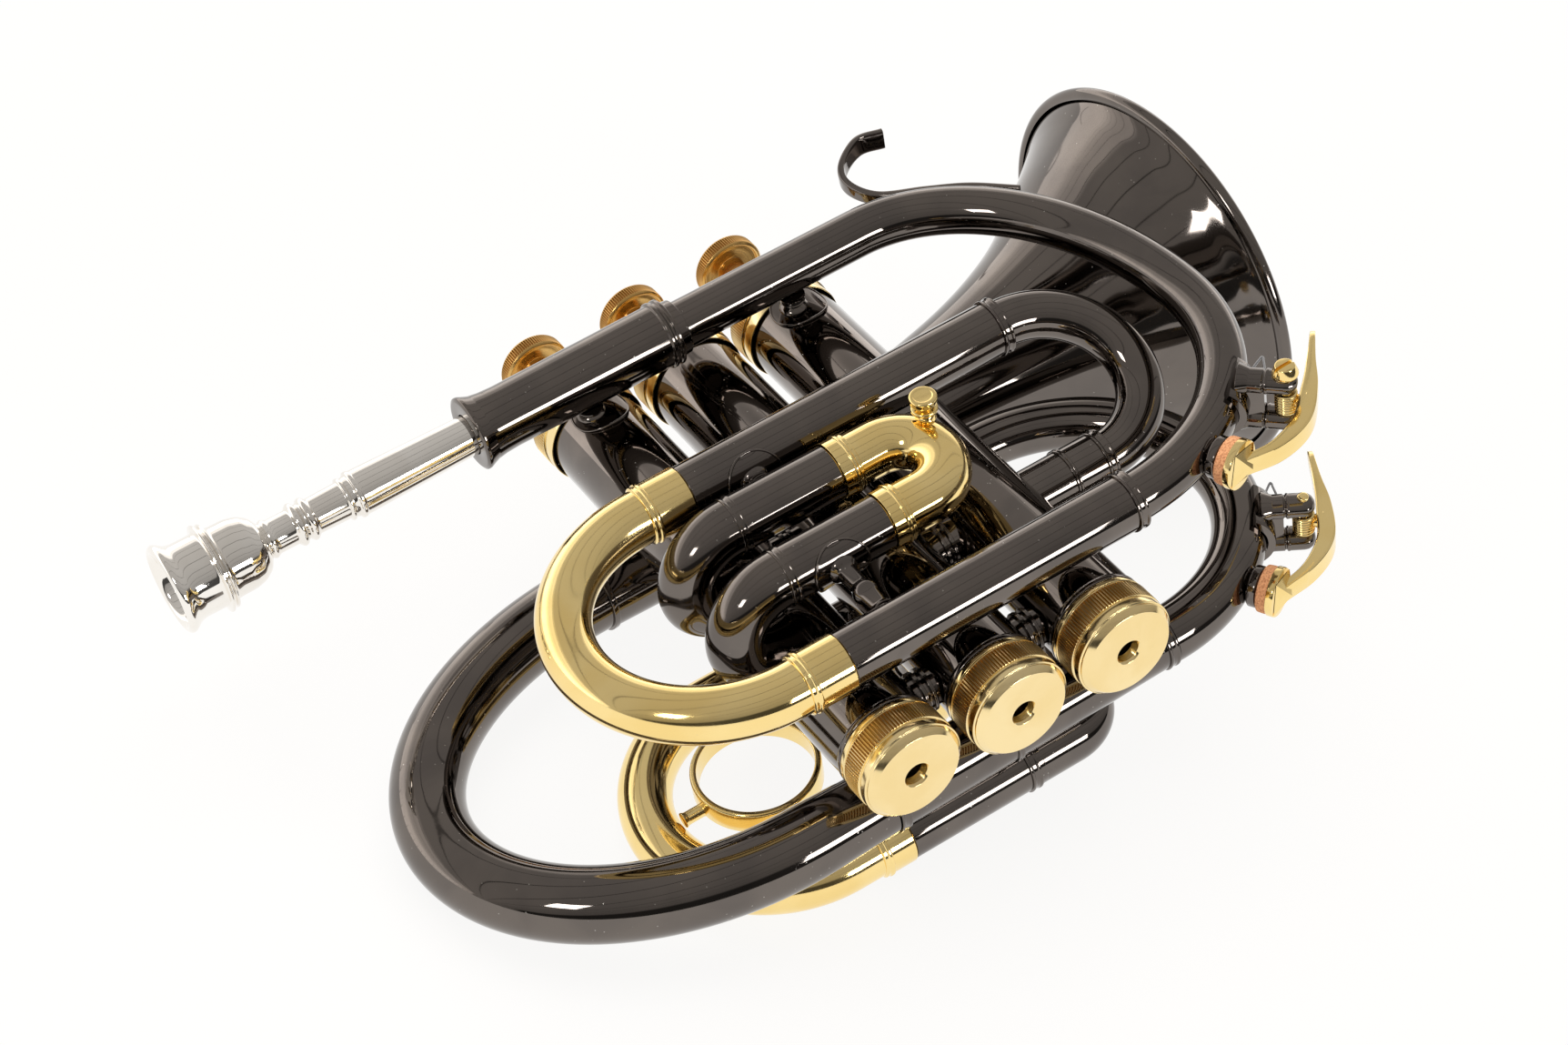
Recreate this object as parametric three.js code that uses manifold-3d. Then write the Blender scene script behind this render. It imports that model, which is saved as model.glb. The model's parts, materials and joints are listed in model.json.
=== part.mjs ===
import * as THREE from 'three';
import { mergeVertices } from 'three/addons/utils/BufferGeometryUtils.js';
import Module from 'manifold-3d';

const wasm = await Module();
wasm.setup();

// A pocket trumpet, in millimetres.
// Its own axes: x runs forward from mouthpiece to bell, y to the player's left, and z up to the
// finger buttons. The origin is on the second valve's axis, at the flat face of its bottom cap.
// The last group lays the whole instrument on its left side, on the floor z = 0.

// Fits
const clearance = 0.3;
const overrun = 1;
// Corners closer than this share of the clearance are one corner. It is no round number, so that
// no size falls on the border between two corners.
const weldShare = 1 / (300 * Math.PI);

// Tubing
const slideTube = { outerRadius: 6.3, innerRadius: 5.5, socketDepth: 6 };
const ring = { rise: 0.5, width: 1.3, gap: 1 };
const nearPlane = -20.5;
const farPlane = 20.5;

// Valve block
const valvePitch = 26.6;
const valveTravel = 12.8;
const casing = { radius: 11.33, bore: 9.4, top: 134, portRadius: 4.8 };
const bottomCap = {
  faceRadius: 9.7, faceHeight: 2, rimRadius: 11.7, grooveRadius: 11.3, knurlRadius: 11.85,
  knurlBottom: 3.9, knurlTop: 9.2, height: 10.7,
  spigotHeight: 3.2, wall: 1.8, floor: 2.6, ventRadius: 2.7,
};
const topCap = { radius: 12.2, shoulderRadius: 9.6, bottom: 129.6, knurlTop: 138.2, top: 143.6 };
const piston = { bottom: 28, bodyTop: 96, roof: 2, barrelWall: 1.5, portRadius: 4.4 };
const guideBar = { bottom: 106, thickness: 2.5, width: 4 };
const stem = { radius: 2.3, seat: 4 };
const button = { radius: 8.15, bottom: 156.8, top: 161, lipRadius: 7.5, dishDepth: 1.1, collarRadius: 3.4, collarBottom: 153.6 };
const spring = { coilRadius: 6.1, wireRadius: 0.65, turns: 4 };
const crossover = { radius: 6, ringRadius: 6.6, rearHeight: 69 };
const strut = { radius: 4.2, ringRadius: 5, height: 18.5 };

// Lead side
const leadpipe = { height: 127.7, startRadius: 5.6, endRadius: 5.4, start: -2.6, bendStart: 45, bendEnd: 42, reach: 89.7, reachHeight: 64.5 };
const receiver = {
  mouth: -57, radius: 7.2, mouthRadius: 8.7, lipRadius: 8.3, flareLength: 9, lipLength: 1.6,
  frontRadius: 7.4, ringInset: 2.4, socketDepth: 10,
};
const mouthpiece = {
  rimRadius: 10.5, rimLength: 3.2, cylinderRadius: 8.75, cylinderLength: 9.5,
  bandRadius: 10.4, bandLength: 3, domeRadius: 8.35, domeLength: 10, neckRadius: 3.85,
  collarRadius: 4.55, collarLength: 2.6, neckLength: 5.2, beadRadius: 5.05, beadLength: 4.2,
  stepRadius: 5.5, stepLength: 2.2, stepAdvance: 8,
  shankRadius: 5.3, mouthRadius: 4.55, tipRadius: 4.1, insertion: 20, protrusion: 74,
  cupRadius: 8, cupDepth: 11, throatRadius: 1.9, throatLength: 8, backboreRadius: 3.1,
};
const tuning = {
  upperHeight: 81, lowerHeight: 18.7, jointX: -29.8, lowerFront: 42.6, upperFront: 52.3,
  legLength: 38, ferruleLength: 10.7, bowRadius: 6.1, ferruleRadius: 6.6,
};
const entry = { height: 50.5, plane: 0, sleeveFront: 57, sleeveRear: 46, reach: 19.5, radius: 5.5, sleeveRadius: 6.2 };
const firstSlide = {
  upperHeight: 66.1, lowerHeight: 46.7, jointX: 2.6, elbowX: -28, elbowRadius: 12,
  turnRadius: 8, turnAngle: 60, runIn: 5, legLength: 24, ferruleLength: 5.1, ferruleRadius: 6.6, bowRadius: 6.1,
};
const knob = { x: 20.6, height: 62.2, baseRadius: 2.1, waistRadius: 1.5, discRadius: 3, discThickness: 1.6, waistLength: 1.6 };
const brace = { postRadius: 2.35, flangeRadius: 6.5, flangeThickness: 0.8 };
const braceX = { receiver: -28.7, leadpipe: 25.4, slides: -15.5 };
const braceHeight = 125.5;
const hook = {
  width: 5.2, thickness: 1.6, footFront: 76, footRear: 62, loopX: 53.4,
  topX: 63, tipX: 69.5, leaveX: 56.5, loopTopX: 55.4,
  leaveRise: 8.7, loopRise: 17.3, loopTopRise: 23.9, topRise: 29.1, tipRise: 27.7,
};

// Bell side
const bell = {
  rimX: 120.2, rimY: 30, rimZ: 119.6, tailX: -45, tailY: 22.8, tailZ: 108.1,
  rimRadius: 49.9, tailRadius: 8.6, wall: 0.9, beadRadius: 1.7,
};
// How far each station lies from the rim, as a share of the bell's length, and its radius as a
// share of the rim's
const flareShares = [
  [0.018, 0.932], [0.042, 0.862], [0.072, 0.788], [0.109, 0.707], [0.151, 0.611], [0.193, 0.527],
  [0.241, 0.457], [0.302, 0.391], [0.374, 0.337], [0.483, 0.281], [0.603, 0.24], [0.754, 0.204],
];
const tail = { reachX: -108, reachHeight: 62, lowHeight: 15, bowRadius: 8.4, lowRadius: 8.2, endX: -28, endRadius: 7.6 };
const lowerRun = { frontX: 45, frontRadius: 6.4, ringX: 2 };
const frontBow = { reach: 38.2, returnHeight: 89, endRadius: 5.8 };
const returnTube = { radius: 6.1, bendRadius: 9 };
const secondSlide = {
  upperHeight: 58, lowerHeight: 40, jointY: 19.5, legLength: 6.5, ferruleLength: 6.2, ferruleRadius: 6.6, bowRadius: 6.1,
};
const thirdSlide = {
  upperHeight: 74.6, lowerHeight: 16.8, gap: 0.9, jointX: -23.8, legLength: 32, ferruleLength: 8,
  ferruleRadius: 6.6, bowCentreX: -37.3, bowRadius: 6.1, upperEntryX: 22, lowerTurnX: 20,
  elbowRadius: 9, entryHeight: 34.8,
};
const fingerRing = { radius: 14.4, wall: 1.5, width: 5.6, x: -41.5, height: 45.6, y: 30, footWidth: 6, footThickness: 3 };
const bellBrace = { height: 110, x: 0 };

// Water keys, set by the angle from the bottom of the bow that carries them
const waterKey = {
  hingeReach: 14.2, lugRadius: 3.1, lugWidth: 3.4, barrelWidth: 5.2, barrelRadius: 2.7, pinRadius: 1.3,
  headRadius: 3.1, headThickness: 1.5, footRadius: 7, footWall: 1.3, footHalfWidth: 6, leverReach: 22,
  leverThickness: 1.3, leverWidth: 7.4, tipWidth: 2.6, nippleRadius: 3, nippleHeight: 2.6,
  corkRadius: 3.1, corkThickness: 2, cupRadius: 4, cupDepth: 2.8, cupFloor: 1.2,
};
// The lever's run, as shares of its reach: along the bow, and out from the hinge
const leverShares = [[-0.7, 0.02], [-0.33, 0.2], [0.14, 0.21], [0.52, 0.17], [0.97, 0.12]];
const leadKeyAngles = { hinge: 44.6, nipple: 24 };
const frontKeyAngles = { hinge: 56, nipple: 31 };

// How the instrument lies on its left side
const lie = { tiltDegrees: -12.47, rollDegrees: -2.46 };

// Fineness
const sides = { tube: 12, bow: 10, casing: 14, bell: 22, knuckle: 8, small: 6, wire: 3, mouthpiece: 12 };
const steps = { bow: 6, elbow: 3, smallBow: 4, spring: 6, lever: 7, hook: 12 };

// Directions
const forward = new THREE.Vector3(1, 0, 0);
const left = new THREE.Vector3(0, 1, 0);
const up = new THREE.Vector3(0, 0, 1);
const point = (x, y, z) => new THREE.Vector3(x, y, z);
const radians = THREE.MathUtils.degToRad;

// Closed meshes as solids, and back

function toSolid(geometry) {
  const bare = geometry.clone();
  bare.deleteAttribute('normal');
  bare.deleteAttribute('uv');
  const merged = mergeVertices(bare, clearance * weldShare);
  const index = merged.index.array;
  const position = merged.attributes.position;
  const corners = [];
  let volume = 0;
  const [a, b, c] = [point(0, 0, 0), point(0, 0, 0), point(0, 0, 0)];
  for (let i = 0; i < index.length; i += 3) {
    const [p, q, r] = [index[i], index[i + 1], index[i + 2]];
    if (p === q || q === r || r === p) continue;
    corners.push(p, q, r);
    a.fromBufferAttribute(position, p);
    b.fromBufferAttribute(position, q);
    c.fromBufferAttribute(position, r);
    volume += a.dot(b.cross(c));
  }
  if (volume < 0) corners.reverse();
  return new wasm.Manifold(new wasm.Mesh({
    numProp: 3,
    vertProperties: new Float32Array(position.array),
    triVerts: new Uint32Array(corners),
  }));
}

function toGeometry(solid) {
  const mesh = solid.getMesh();
  const geometry = new THREE.BufferGeometry();
  geometry.setAttribute('position', new THREE.BufferAttribute(new Float32Array(mesh.vertProperties), 3));
  geometry.setIndex(new THREE.BufferAttribute(new Uint32Array(mesh.triVerts), 1));
  const flat = geometry.toNonIndexed();
  flat.computeVertexNormals();
  return flat;
}

// Placement of a shape made about +z: its base goes to a point and its axis along a direction
function placed(geometry, base, direction) {
  const turn = new THREE.Quaternion().setFromUnitVectors(up, direction.clone().normalize());
  return geometry.applyMatrix4(new THREE.Matrix4().compose(base, turn, point(1, 1, 1)));
}

// A solid turned about +z, from its profile of [radius, height] points
function turned(profile, count = sides.tube) {
  const outline = profile.map(([radius, height]) => new THREE.Vector2(radius, height));
  return new THREE.LatheGeometry(outline, count).rotateX(Math.PI / 2);
}

// A turned solid with a bore through it: the profile closes on itself
const turnedRing = (profile, count) => turned([...profile, profile[0]], count);

const rod = (radius, from, to, count = sides.tube) => {
  const length = from.distanceTo(to);
  const shape = turned([[0, 0], [radius, 0], [radius, length], [0, length]], count);
  return toSolid(placed(shape, from.clone(), to.clone().sub(from)));
};

const block = (low, high) => {
  const size = high.clone().sub(low);
  const box = new THREE.BoxGeometry(size.x, size.y, size.z);
  return toSolid(box.translate((low.x + high.x) / 2, (low.y + high.y) / 2, (low.z + high.z) / 2));
};

// Points along part of an ellipse: from its first half axis towards its second
function ellipsePoints(centre, first, second, turn, count) {
  return Array.from({ length: count + 1 }, (_, i) => {
    const angle = (turn * i) / count;
    return centre.clone().addScaledVector(first, Math.cos(angle)).addScaledVector(second, Math.sin(angle));
  });
}

// Stations whose radius runs evenly from one end of the path to the other
function tapered(points, startRadius, endRadius) {
  const along = [0];
  for (let i = 1; i < points.length; i += 1) along.push(along[i - 1] + points[i].distanceTo(points[i - 1]));
  const length = along[along.length - 1];
  return points.map((at, i) => ({ at, radius: THREE.MathUtils.lerp(startRadius, endRadius, along[i] / length) }));
}

// A solid tube through stations of { at, radius }, round, closed at both ends
function sweep(stations, count = sides.tube, reference = left) {
  const distinct = (from, stride) => {
    let i = from + stride;
    while (stations[i] && stations[i].at.distanceTo(stations[from].at) < clearance / 100) i += stride;
    return stations[i];
  };
  const directions = stations.map(({ at }, i) => {
    const before = distinct(i, -1);
    const after = distinct(i, 1);
    return (after ? after.at : at).clone().sub(before ? before.at : at).normalize();
  });
  const vertices = [];
  const faces = [];
  let normal = reference.clone();
  stations.forEach(({ at, radius }, i) => {
    const direction = directions[i];
    if (i > 0) normal.applyQuaternion(new THREE.Quaternion().setFromUnitVectors(directions[i - 1], direction));
    normal.addScaledVector(direction, -normal.dot(direction)).normalize();
    const binormal = direction.clone().cross(normal);
    for (let j = 0; j < count; j += 1) {
      const angle = (2 * Math.PI * j) / count;
      const corner = at.clone()
        .addScaledVector(normal, radius * Math.cos(angle))
        .addScaledVector(binormal, radius * Math.sin(angle));
      vertices.push(corner.x, corner.y, corner.z);
    }
  });
  const last = (stations.length - 1) * count;
  for (let i = 0; i < last; i += count) {
    for (let j = 0; j < count; j += 1) {
      const next = (j + 1) % count;
      faces.push(i + j, i + next, i + count + next, i + j, i + count + next, i + count + j);
    }
  }
  for (let j = 1; j < count - 1; j += 1) faces.push(0, j + 1, j, last, last + j, last + j + 1);
  const geometry = new THREE.BufferGeometry();
  geometry.setAttribute('position', new THREE.Float32BufferAttribute(vertices, 3));
  geometry.setIndex(faces);
  return toSolid(geometry);
}

// A flat strip through stations of { at, out, width }, whose width lies along y
function strip(stations, thickness) {
  const vertices = [];
  const faces = [];
  stations.forEach(({ at, out, width }) => {
    for (const [across, through] of [[-1, -1], [1, -1], [1, 1], [-1, 1]]) {
      const corner = at.clone()
        .addScaledVector(left, (across * width) / 2)
        .addScaledVector(out, (through * thickness) / 2);
      vertices.push(corner.x, corner.y, corner.z);
    }
  });
  const last = (stations.length - 1) * 4;
  for (let i = 0; i < last; i += 4) {
    for (let j = 0; j < 4; j += 1) {
      const next = (j + 1) % 4;
      faces.push(i + j, i + next, i + 4 + next, i + j, i + 4 + next, i + 4 + j);
    }
  }
  faces.push(0, 2, 1, 0, 3, 2, last, last + 1, last + 2, last, last + 2, last + 3);
  const geometry = new THREE.BufferGeometry();
  geometry.setAttribute('position', new THREE.Float32BufferAttribute(vertices, 3));
  geometry.setIndex(faces);
  return toSolid(geometry);
}

// Materials
const finish = (color, roughness, metalness) => new THREE.MeshStandardMaterial({ color, roughness, metalness });
const blackNickel = finish(0x1c1a1b, 0.12, 0.9);
const brass = finish(0xc9a24c, 0.25, 1);
const silver = finish(0xcfd0d0, 0.12, 1);
const monel = finish(0x9b9a94, 0.3, 1);
const steel = finish(0x8d8f92, 0.35, 1);
const cork = finish(0xc2703a, 0.9, 0);

const instrument = new THREE.Group();

function add(name, solid, material, parent = instrument) {
  const mesh = new THREE.Mesh(toGeometry(solid), material);
  mesh.name = name;
  parent.add(mesh);
}

// Valve casings, and the room that each leaves to what is soldered to it
const valveX = [-valvePitch, 0, valvePitch];
const casingBottom = bottomCap.height + clearance;
const capCeiling = casing.top + clearance;
const casingRoom = (k, gap = clearance) => rod(
  casing.radius + gap,
  point(valveX[k], 0, -overrun),
  point(valveX[k], 0, casing.top + overrun),
  sides.casing,
);
const casingRooms = valveX.map((_, k) => casingRoom(k));
const capRooms = valveX.map((x) => rod(
  topCap.radius + clearance,
  point(x, 0, topCap.bottom - clearance),
  point(x, 0, topCap.top),
  sides.casing,
));
const crossoverHeights = [crossover.rearHeight, entry.height];

// The wind way between the valves when none is pressed climbs towards the first valve
const passages = [
  { from: { side: forward, height: crossoverHeights[0] }, to: { side: left, height: frontBow.returnHeight } },
  {
    from: { side: forward, height: crossoverHeights[1] },
    to: { side: forward.clone().negate(), height: crossoverHeights[0] },
  },
  { from: { side: forward, height: entry.height }, to: { side: forward.clone().negate(), height: crossoverHeights[1] } },
];

// Where each casing is open: side to side, and towards its own slide
const slideSide = point(-Math.sin(radians(firstSlide.turnAngle)), -Math.cos(radians(firstSlide.turnAngle)), 0);
const slidePorts = [
  [firstSlide.upperHeight, firstSlide.lowerHeight].map((height) => ({ side: slideSide, height })),
  [secondSlide.upperHeight, secondSlide.lowerHeight].map((height) => ({ side: left, height })),
  [thirdSlide.upperHeight, thirdSlide.entryHeight].map((height) => ({ side: left, height })),
];

const portCut = ({ side, height }, radius, reach) => rod(
  radius,
  point(0, 0, height),
  point(0, 0, height).addScaledVector(side, reach),
  sides.small,
);

function valveCasing(k) {
  const shell = toSolid(turnedRing([
    [casing.bore, casingBottom],
    [casing.radius, casingBottom],
    [casing.radius, casing.top],
    [casing.bore, casing.top],
  ], sides.casing));
  const ports = [passages[k].from, passages[k].to, ...slidePorts[k]]
    .map((port) => portCut(port, casing.portRadius, casing.radius + overrun));
  const reach = casing.bore + (casing.radius - casing.bore) / 2;
  const guide = block(
    point(-guideBar.width / 2, -reach, guideBar.bottom),
    point(guideBar.width / 2, reach, guideBar.bottom + guideBar.thickness),
  );
  return ports.reduce((body, port) => body.subtract(port), shell).add(guide);
}

function valvePiston(k) {
  const radius = casing.bore - clearance;
  const top = capCeiling - clearance;
  const roofBottom = top - piston.roof;
  const stemTop = button.bottom + stem.seat;
  const body = rod(radius, point(0, 0, piston.bottom), point(0, 0, top), sides.casing);
  const barrel = rod(radius - piston.barrelWall, point(0, 0, piston.bodyTop), point(0, 0, roofBottom), sides.casing);
  const slot = block(
    point(-guideBar.width / 2 - clearance, -casing.radius, guideBar.bottom - clearance),
    point(guideBar.width / 2 + clearance, casing.radius, guideBar.bottom + guideBar.thickness + valveTravel + clearance),
  );
  const { from, to } = passages[k];
  const middle = point(0, 0, (from.height + to.height) / 2);
  const mouth = ({ side, height }) => point(0, 0, height).addScaledVector(side, casing.radius);
  const way = rod(piston.portRadius, middle, mouth(from), sides.small)
    .add(rod(piston.portRadius, middle, mouth(to), sides.small));
  const shaft = rod(stem.radius, point(0, 0, roofBottom + piston.roof / 2), point(0, 0, stemTop), sides.tube);
  return body.subtract(barrel).subtract(slot).subtract(way).add(shaft);
}

const bottomCapSolid = () => {
  const cap = bottomCap;
  const spigotRadius = casing.bore - clearance;
  return toSolid(turnedRing([
    [cap.ventRadius, 0],
    [cap.faceRadius, 0],
    [cap.rimRadius, cap.faceHeight],
    [cap.grooveRadius, cap.knurlBottom],
    [cap.knurlRadius, cap.knurlBottom],
    [cap.knurlRadius, cap.knurlTop],
    [cap.rimRadius, cap.knurlTop],
    [cap.rimRadius, cap.height],
    [spigotRadius, cap.height],
    [spigotRadius, cap.height + cap.spigotHeight],
    [spigotRadius - cap.wall, cap.height + cap.spigotHeight],
    [spigotRadius - cap.wall, cap.floor],
    [cap.ventRadius, cap.floor],
  ], sides.casing));
};

// The button's collar goes down into the top cap's well when the valve is pressed
const topCapSolid = () => {
  const cap = topCap;
  const wellFloor = button.collarBottom - valveTravel - clearance;
  return toSolid(turnedRing([
    [casing.radius + clearance, cap.bottom],
    [cap.radius, cap.bottom],
    [cap.radius, cap.knurlTop],
    [cap.shoulderRadius, cap.knurlTop + (cap.radius - cap.shoulderRadius) / 2],
    [cap.shoulderRadius, cap.top],
    [button.collarRadius + clearance, cap.top],
    [button.collarRadius + clearance, wellFloor],
    [stem.radius + clearance, wellFloor],
    [stem.radius + clearance, capCeiling],
    [casing.radius + clearance, capCeiling],
  ], sides.casing));
};

const buttonSolid = () => {
  const fit = stem.radius + clearance;
  return toSolid(turned([
    [0, button.bottom + stem.seat + clearance],
    [fit, button.bottom + stem.seat + clearance],
    [fit, button.collarBottom],
    [button.collarRadius, button.collarBottom],
    [button.collarRadius, button.bottom + button.dishDepth],
    [button.lipRadius, button.bottom],
    [button.radius, button.bottom + button.dishDepth / 2],
    [button.radius, button.top - button.dishDepth / 2],
    [button.lipRadius, button.top],
    [0, button.top - button.dishDepth / 2],
  ], sides.casing));
};

// One unbroken coil between the guide bar and the roof of the spring barrel
const springSolid = () => {
  const seat = clearance + spring.wireRadius;
  const low = guideBar.bottom + guideBar.thickness + seat;
  const high = capCeiling - clearance - piston.roof - seat;
  const count = spring.turns * steps.spring;
  const coil = Array.from({ length: count + 1 }, (_, i) => {
    const angle = (2 * Math.PI * i) / steps.spring;
    const at = point(
      spring.coilRadius * Math.cos(angle),
      spring.coilRadius * Math.sin(angle),
      THREE.MathUtils.lerp(low, high, i / count),
    );
    return { at, radius: spring.wireRadius };
  });
  return sweep(coil, sides.wire, up);
};

valveX.forEach((x, k) => {
  const valve = new THREE.Group();
  valve.position.x = x;
  instrument.add(valve);
  add(`casing_${k + 1}`, valveCasing(k), blackNickel, valve);
  add(`bottom_cap_${k + 1}`, bottomCapSolid(), brass, valve);
  add(`top_cap_${k + 1}`, topCapSolid(), brass, valve);
  add(`piston_${k + 1}`, valvePiston(k), monel, valve);
  add(`button_${k + 1}`, buttonSolid(), brass, valve);
  add(`valve_spring_${k + 1}`, springSolid(), steel, valve);
});

// Knuckles and struts between neighbouring casings, hollowed to fit both
const between = (k, shape) => shape.subtract(casingRooms[k]).subtract(casingRooms[k + 1]);

function banded(from, to, radius, bandRadius, bandWidth, count) {
  const middle = from.clone().lerp(to, 1 / 2);
  const half = to.clone().sub(from).setLength(bandWidth / 2);
  return rod(radius, from, to, count).add(rod(bandRadius, middle.clone().sub(half), middle.add(half), count));
}

[0, 1].forEach((k) => {
  const label = `${k + 1}${k + 2}`;
  const knuckle = banded(
    point(valveX[k], 0, crossoverHeights[k]),
    point(valveX[k + 1], 0, crossoverHeights[k]),
    crossover.radius,
    crossover.ringRadius,
    ring.width,
    sides.knuckle,
  );
  add(`crossover_${label}`, between(k, knuckle), blackNickel);
  const lower = banded(
    point(valveX[k], 0, strut.height),
    point(valveX[k + 1], 0, strut.height),
    strut.radius,
    strut.ringRadius,
    ring.width,
    sides.knuckle,
  );
  add(`casing_strut_${label}`, between(k, lower), blackNickel);
});

// Straight outer tubes, with a ring at each end and a bore for what slides or is soldered inside
const slideBore = slideTube.innerRadius + clearance;

function outerTube(from, to, rings = 2) {
  const length = from.distanceTo(to);
  const high = slideTube.outerRadius + ring.rise;
  const low = slideTube.outerRadius;
  const bands = Array.from({ length: rings }, (_, i) => {
    const front = length - (rings - 1 - i) * (ring.width + ring.gap);
    const step = [[high, front - ring.width], [high, front]];
    return i < rings - 1 ? [[low, front - ring.width], ...step, [low, front]] : [[low, front - ring.width], ...step];
  });
  const profile = [[slideBore, 0], [low, 0], ...bands.flat(), [slideBore, length]];
  return toSolid(placed(turnedRing(profile), from.clone(), to.clone().sub(from)));
}

// Receiver
const receiverFront = leadpipe.start;
const shankRadiusAt = (x) => {
  const inside = (x - receiver.mouth) / mouthpiece.insertion;
  return THREE.MathUtils.lerp(mouthpiece.mouthRadius, mouthpiece.tipRadius, inside);
};
function receiverSolid() {
  const r = receiver;
  const length = receiverFront - r.mouth;
  const socket = leadpipe.startRadius + clearance;
  const stop = mouthpiece.insertion + ring.width;
  const profile = [
    [mouthpiece.mouthRadius + clearance, 0],
    [r.lipRadius, 0],
    [r.mouthRadius, r.lipLength / 2],
    [r.lipRadius, r.lipLength],
    [(r.lipRadius + r.radius) / 2, r.flareLength / 2],
    [r.radius, r.flareLength],
    [r.frontRadius, length - r.ringInset - 2 * ring.width],
    [r.frontRadius + ring.rise, length - r.ringInset - 2 * ring.width],
    [r.frontRadius + ring.rise, length - r.ringInset],
    [r.radius - ring.rise, length - r.ringInset],
    [r.radius - ring.rise, length],
    [socket, length],
    [socket, length - r.socketDepth],
    [mouthpiece.tipRadius, length - r.socketDepth],
    [mouthpiece.tipRadius, stop],
    [shankRadiusAt(r.mouth + mouthpiece.insertion) + clearance, stop],
  ];
  return toSolid(placed(turnedRing(profile, sides.mouthpiece), point(r.mouth, nearPlane, leadpipe.height), forward));
}
add('receiver', receiverSolid(), blackNickel);

// Mouthpiece: turned from the rim forward, with its cup, throat and backbore
function mouthpieceSolid() {
  const m = mouthpiece;
  const total = m.protrusion + m.insertion;
  const bandEnd = m.cylinderLength + m.bandLength;
  const domeEnd = bandEnd + m.domeLength;
  const collarEnd = domeEnd + m.collarLength;
  const beadStart = collarEnd + m.neckLength;
  const beadEnd = beadStart + m.beadLength;
  const stepStart = beadEnd + m.stepAdvance;
  const stepEnd = stepStart + m.stepLength;
  const profile = [
    [m.cupRadius, 0],
    [(m.cupRadius + m.rimRadius) / 2, -m.rimLength / 4],
    [m.rimRadius, m.rimLength / 4],
    [m.rimRadius, m.rimLength / 2],
    [m.cylinderRadius, m.rimLength],
    [m.cylinderRadius, m.cylinderLength],
    [m.bandRadius, m.cylinderLength],
    [m.bandRadius, bandEnd],
    [m.domeRadius, bandEnd],
    [m.domeRadius, bandEnd + m.domeLength / 2],
    [(m.domeRadius + m.neckRadius) / 2, domeEnd - m.collarLength / 2],
    [m.neckRadius, domeEnd],
    [m.collarRadius, (domeEnd + collarEnd) / 2],
    [m.neckRadius, collarEnd],
    [m.neckRadius, beadStart],
    [m.beadRadius, beadStart + m.beadLength / 4],
    [m.neckRadius, beadStart + m.beadLength / 2],
    [m.beadRadius, beadEnd - m.beadLength / 4],
    [m.neckRadius, beadEnd],
    [m.neckRadius, stepStart],
    [m.stepRadius, stepStart],
    [m.stepRadius, stepEnd],
    [m.shankRadius, stepEnd],
    [m.mouthRadius, m.protrusion],
    [m.tipRadius, total],
    [m.backboreRadius, total],
    [m.throatRadius, m.cupDepth + m.throatLength],
    [m.throatRadius, m.cupDepth],
    [m.cupRadius * Math.SQRT1_2, m.cupDepth * Math.SQRT1_2],
  ];
  const base = point(receiver.mouth - m.protrusion, nearPlane, leadpipe.height);
  return toSolid(placed(turnedRing(profile, sides.mouthpiece), base, forward));
}
add('mouthpiece', mouthpieceSolid(), silver);

// The leadpipe and its front bow, from inside the receiver to inside the lower tuning tube
const leadBow = {
  top: { centre: point(leadpipe.bendStart, nearPlane, leadpipe.reachHeight), rise: leadpipe.height - leadpipe.reachHeight },
  bottom: { centre: point(leadpipe.bendEnd, nearPlane, leadpipe.reachHeight), drop: leadpipe.reachHeight - tuning.lowerHeight },
};
const leadPath = [
  point(receiverFront - receiver.socketDepth + clearance, nearPlane, leadpipe.height),
  ...ellipsePoints(
    leadBow.top.centre,
    point(0, 0, leadBow.top.rise),
    point(leadpipe.reach - leadpipe.bendStart, 0, 0),
    Math.PI / 2,
    steps.bow,
  ),
  ...ellipsePoints(
    leadBow.bottom.centre,
    point(leadpipe.reach - leadpipe.bendEnd, 0, 0),
    point(0, 0, -leadBow.bottom.drop),
    Math.PI / 2,
    steps.bow,
  ).slice(1),
  point(tuning.lowerFront - slideTube.socketDepth, nearPlane, tuning.lowerHeight),
];
const leadpipeSolid = sweep(tapered(leadPath, leadpipe.startRadius, leadpipe.endRadius), sides.bow);

// Main tuning slide
const tuningEnd = (x, height) => point(x, nearPlane, height);
add('lower_tuning_tube', outerTube(
  tuningEnd(tuning.jointX, tuning.lowerHeight),
  tuningEnd(tuning.lowerFront, tuning.lowerHeight),
), blackNickel);
add('upper_tuning_tube', outerTube(
  tuningEnd(tuning.jointX, tuning.upperHeight),
  tuningEnd(tuning.upperFront, tuning.upperHeight),
), blackNickel);

// A slide: two inner tubes joined by a half-round bow, with a ferrule at each end of the bow.
// It runs out from the joint along direction, and across from its first leg to its second.
function slideSolid({
  start, across, direction, legLength, ferruleLength, ferruleRadius, bowRadius, straight = ring.width,
}) {
  const at = (side, distance) => start.clone()
    .addScaledVector(across, side)
    .addScaledVector(direction, distance);
  const bend = ellipsePoints(
    at(1 / 2, ferruleLength + straight),
    across.clone().multiplyScalar(-1 / 2),
    direction.clone().setLength(across.length() / 2),
    Math.PI,
    2 * steps.smallBow,
  );
  const leg = (side) => [
    { at: at(side, -legLength), radius: slideTube.innerRadius },
    { at: at(side, clearance), radius: slideTube.innerRadius },
    { at: at(side, clearance), radius: ferruleRadius },
    { at: at(side, ferruleLength), radius: ferruleRadius },
    { at: at(side, ferruleLength), radius: bowRadius },
  ];
  const stations = [...leg(0), ...tapered(bend, bowRadius, bowRadius), ...leg(1).reverse()];
  return sweep(stations, sides.tube, direction.clone().cross(across).normalize());
}

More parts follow.
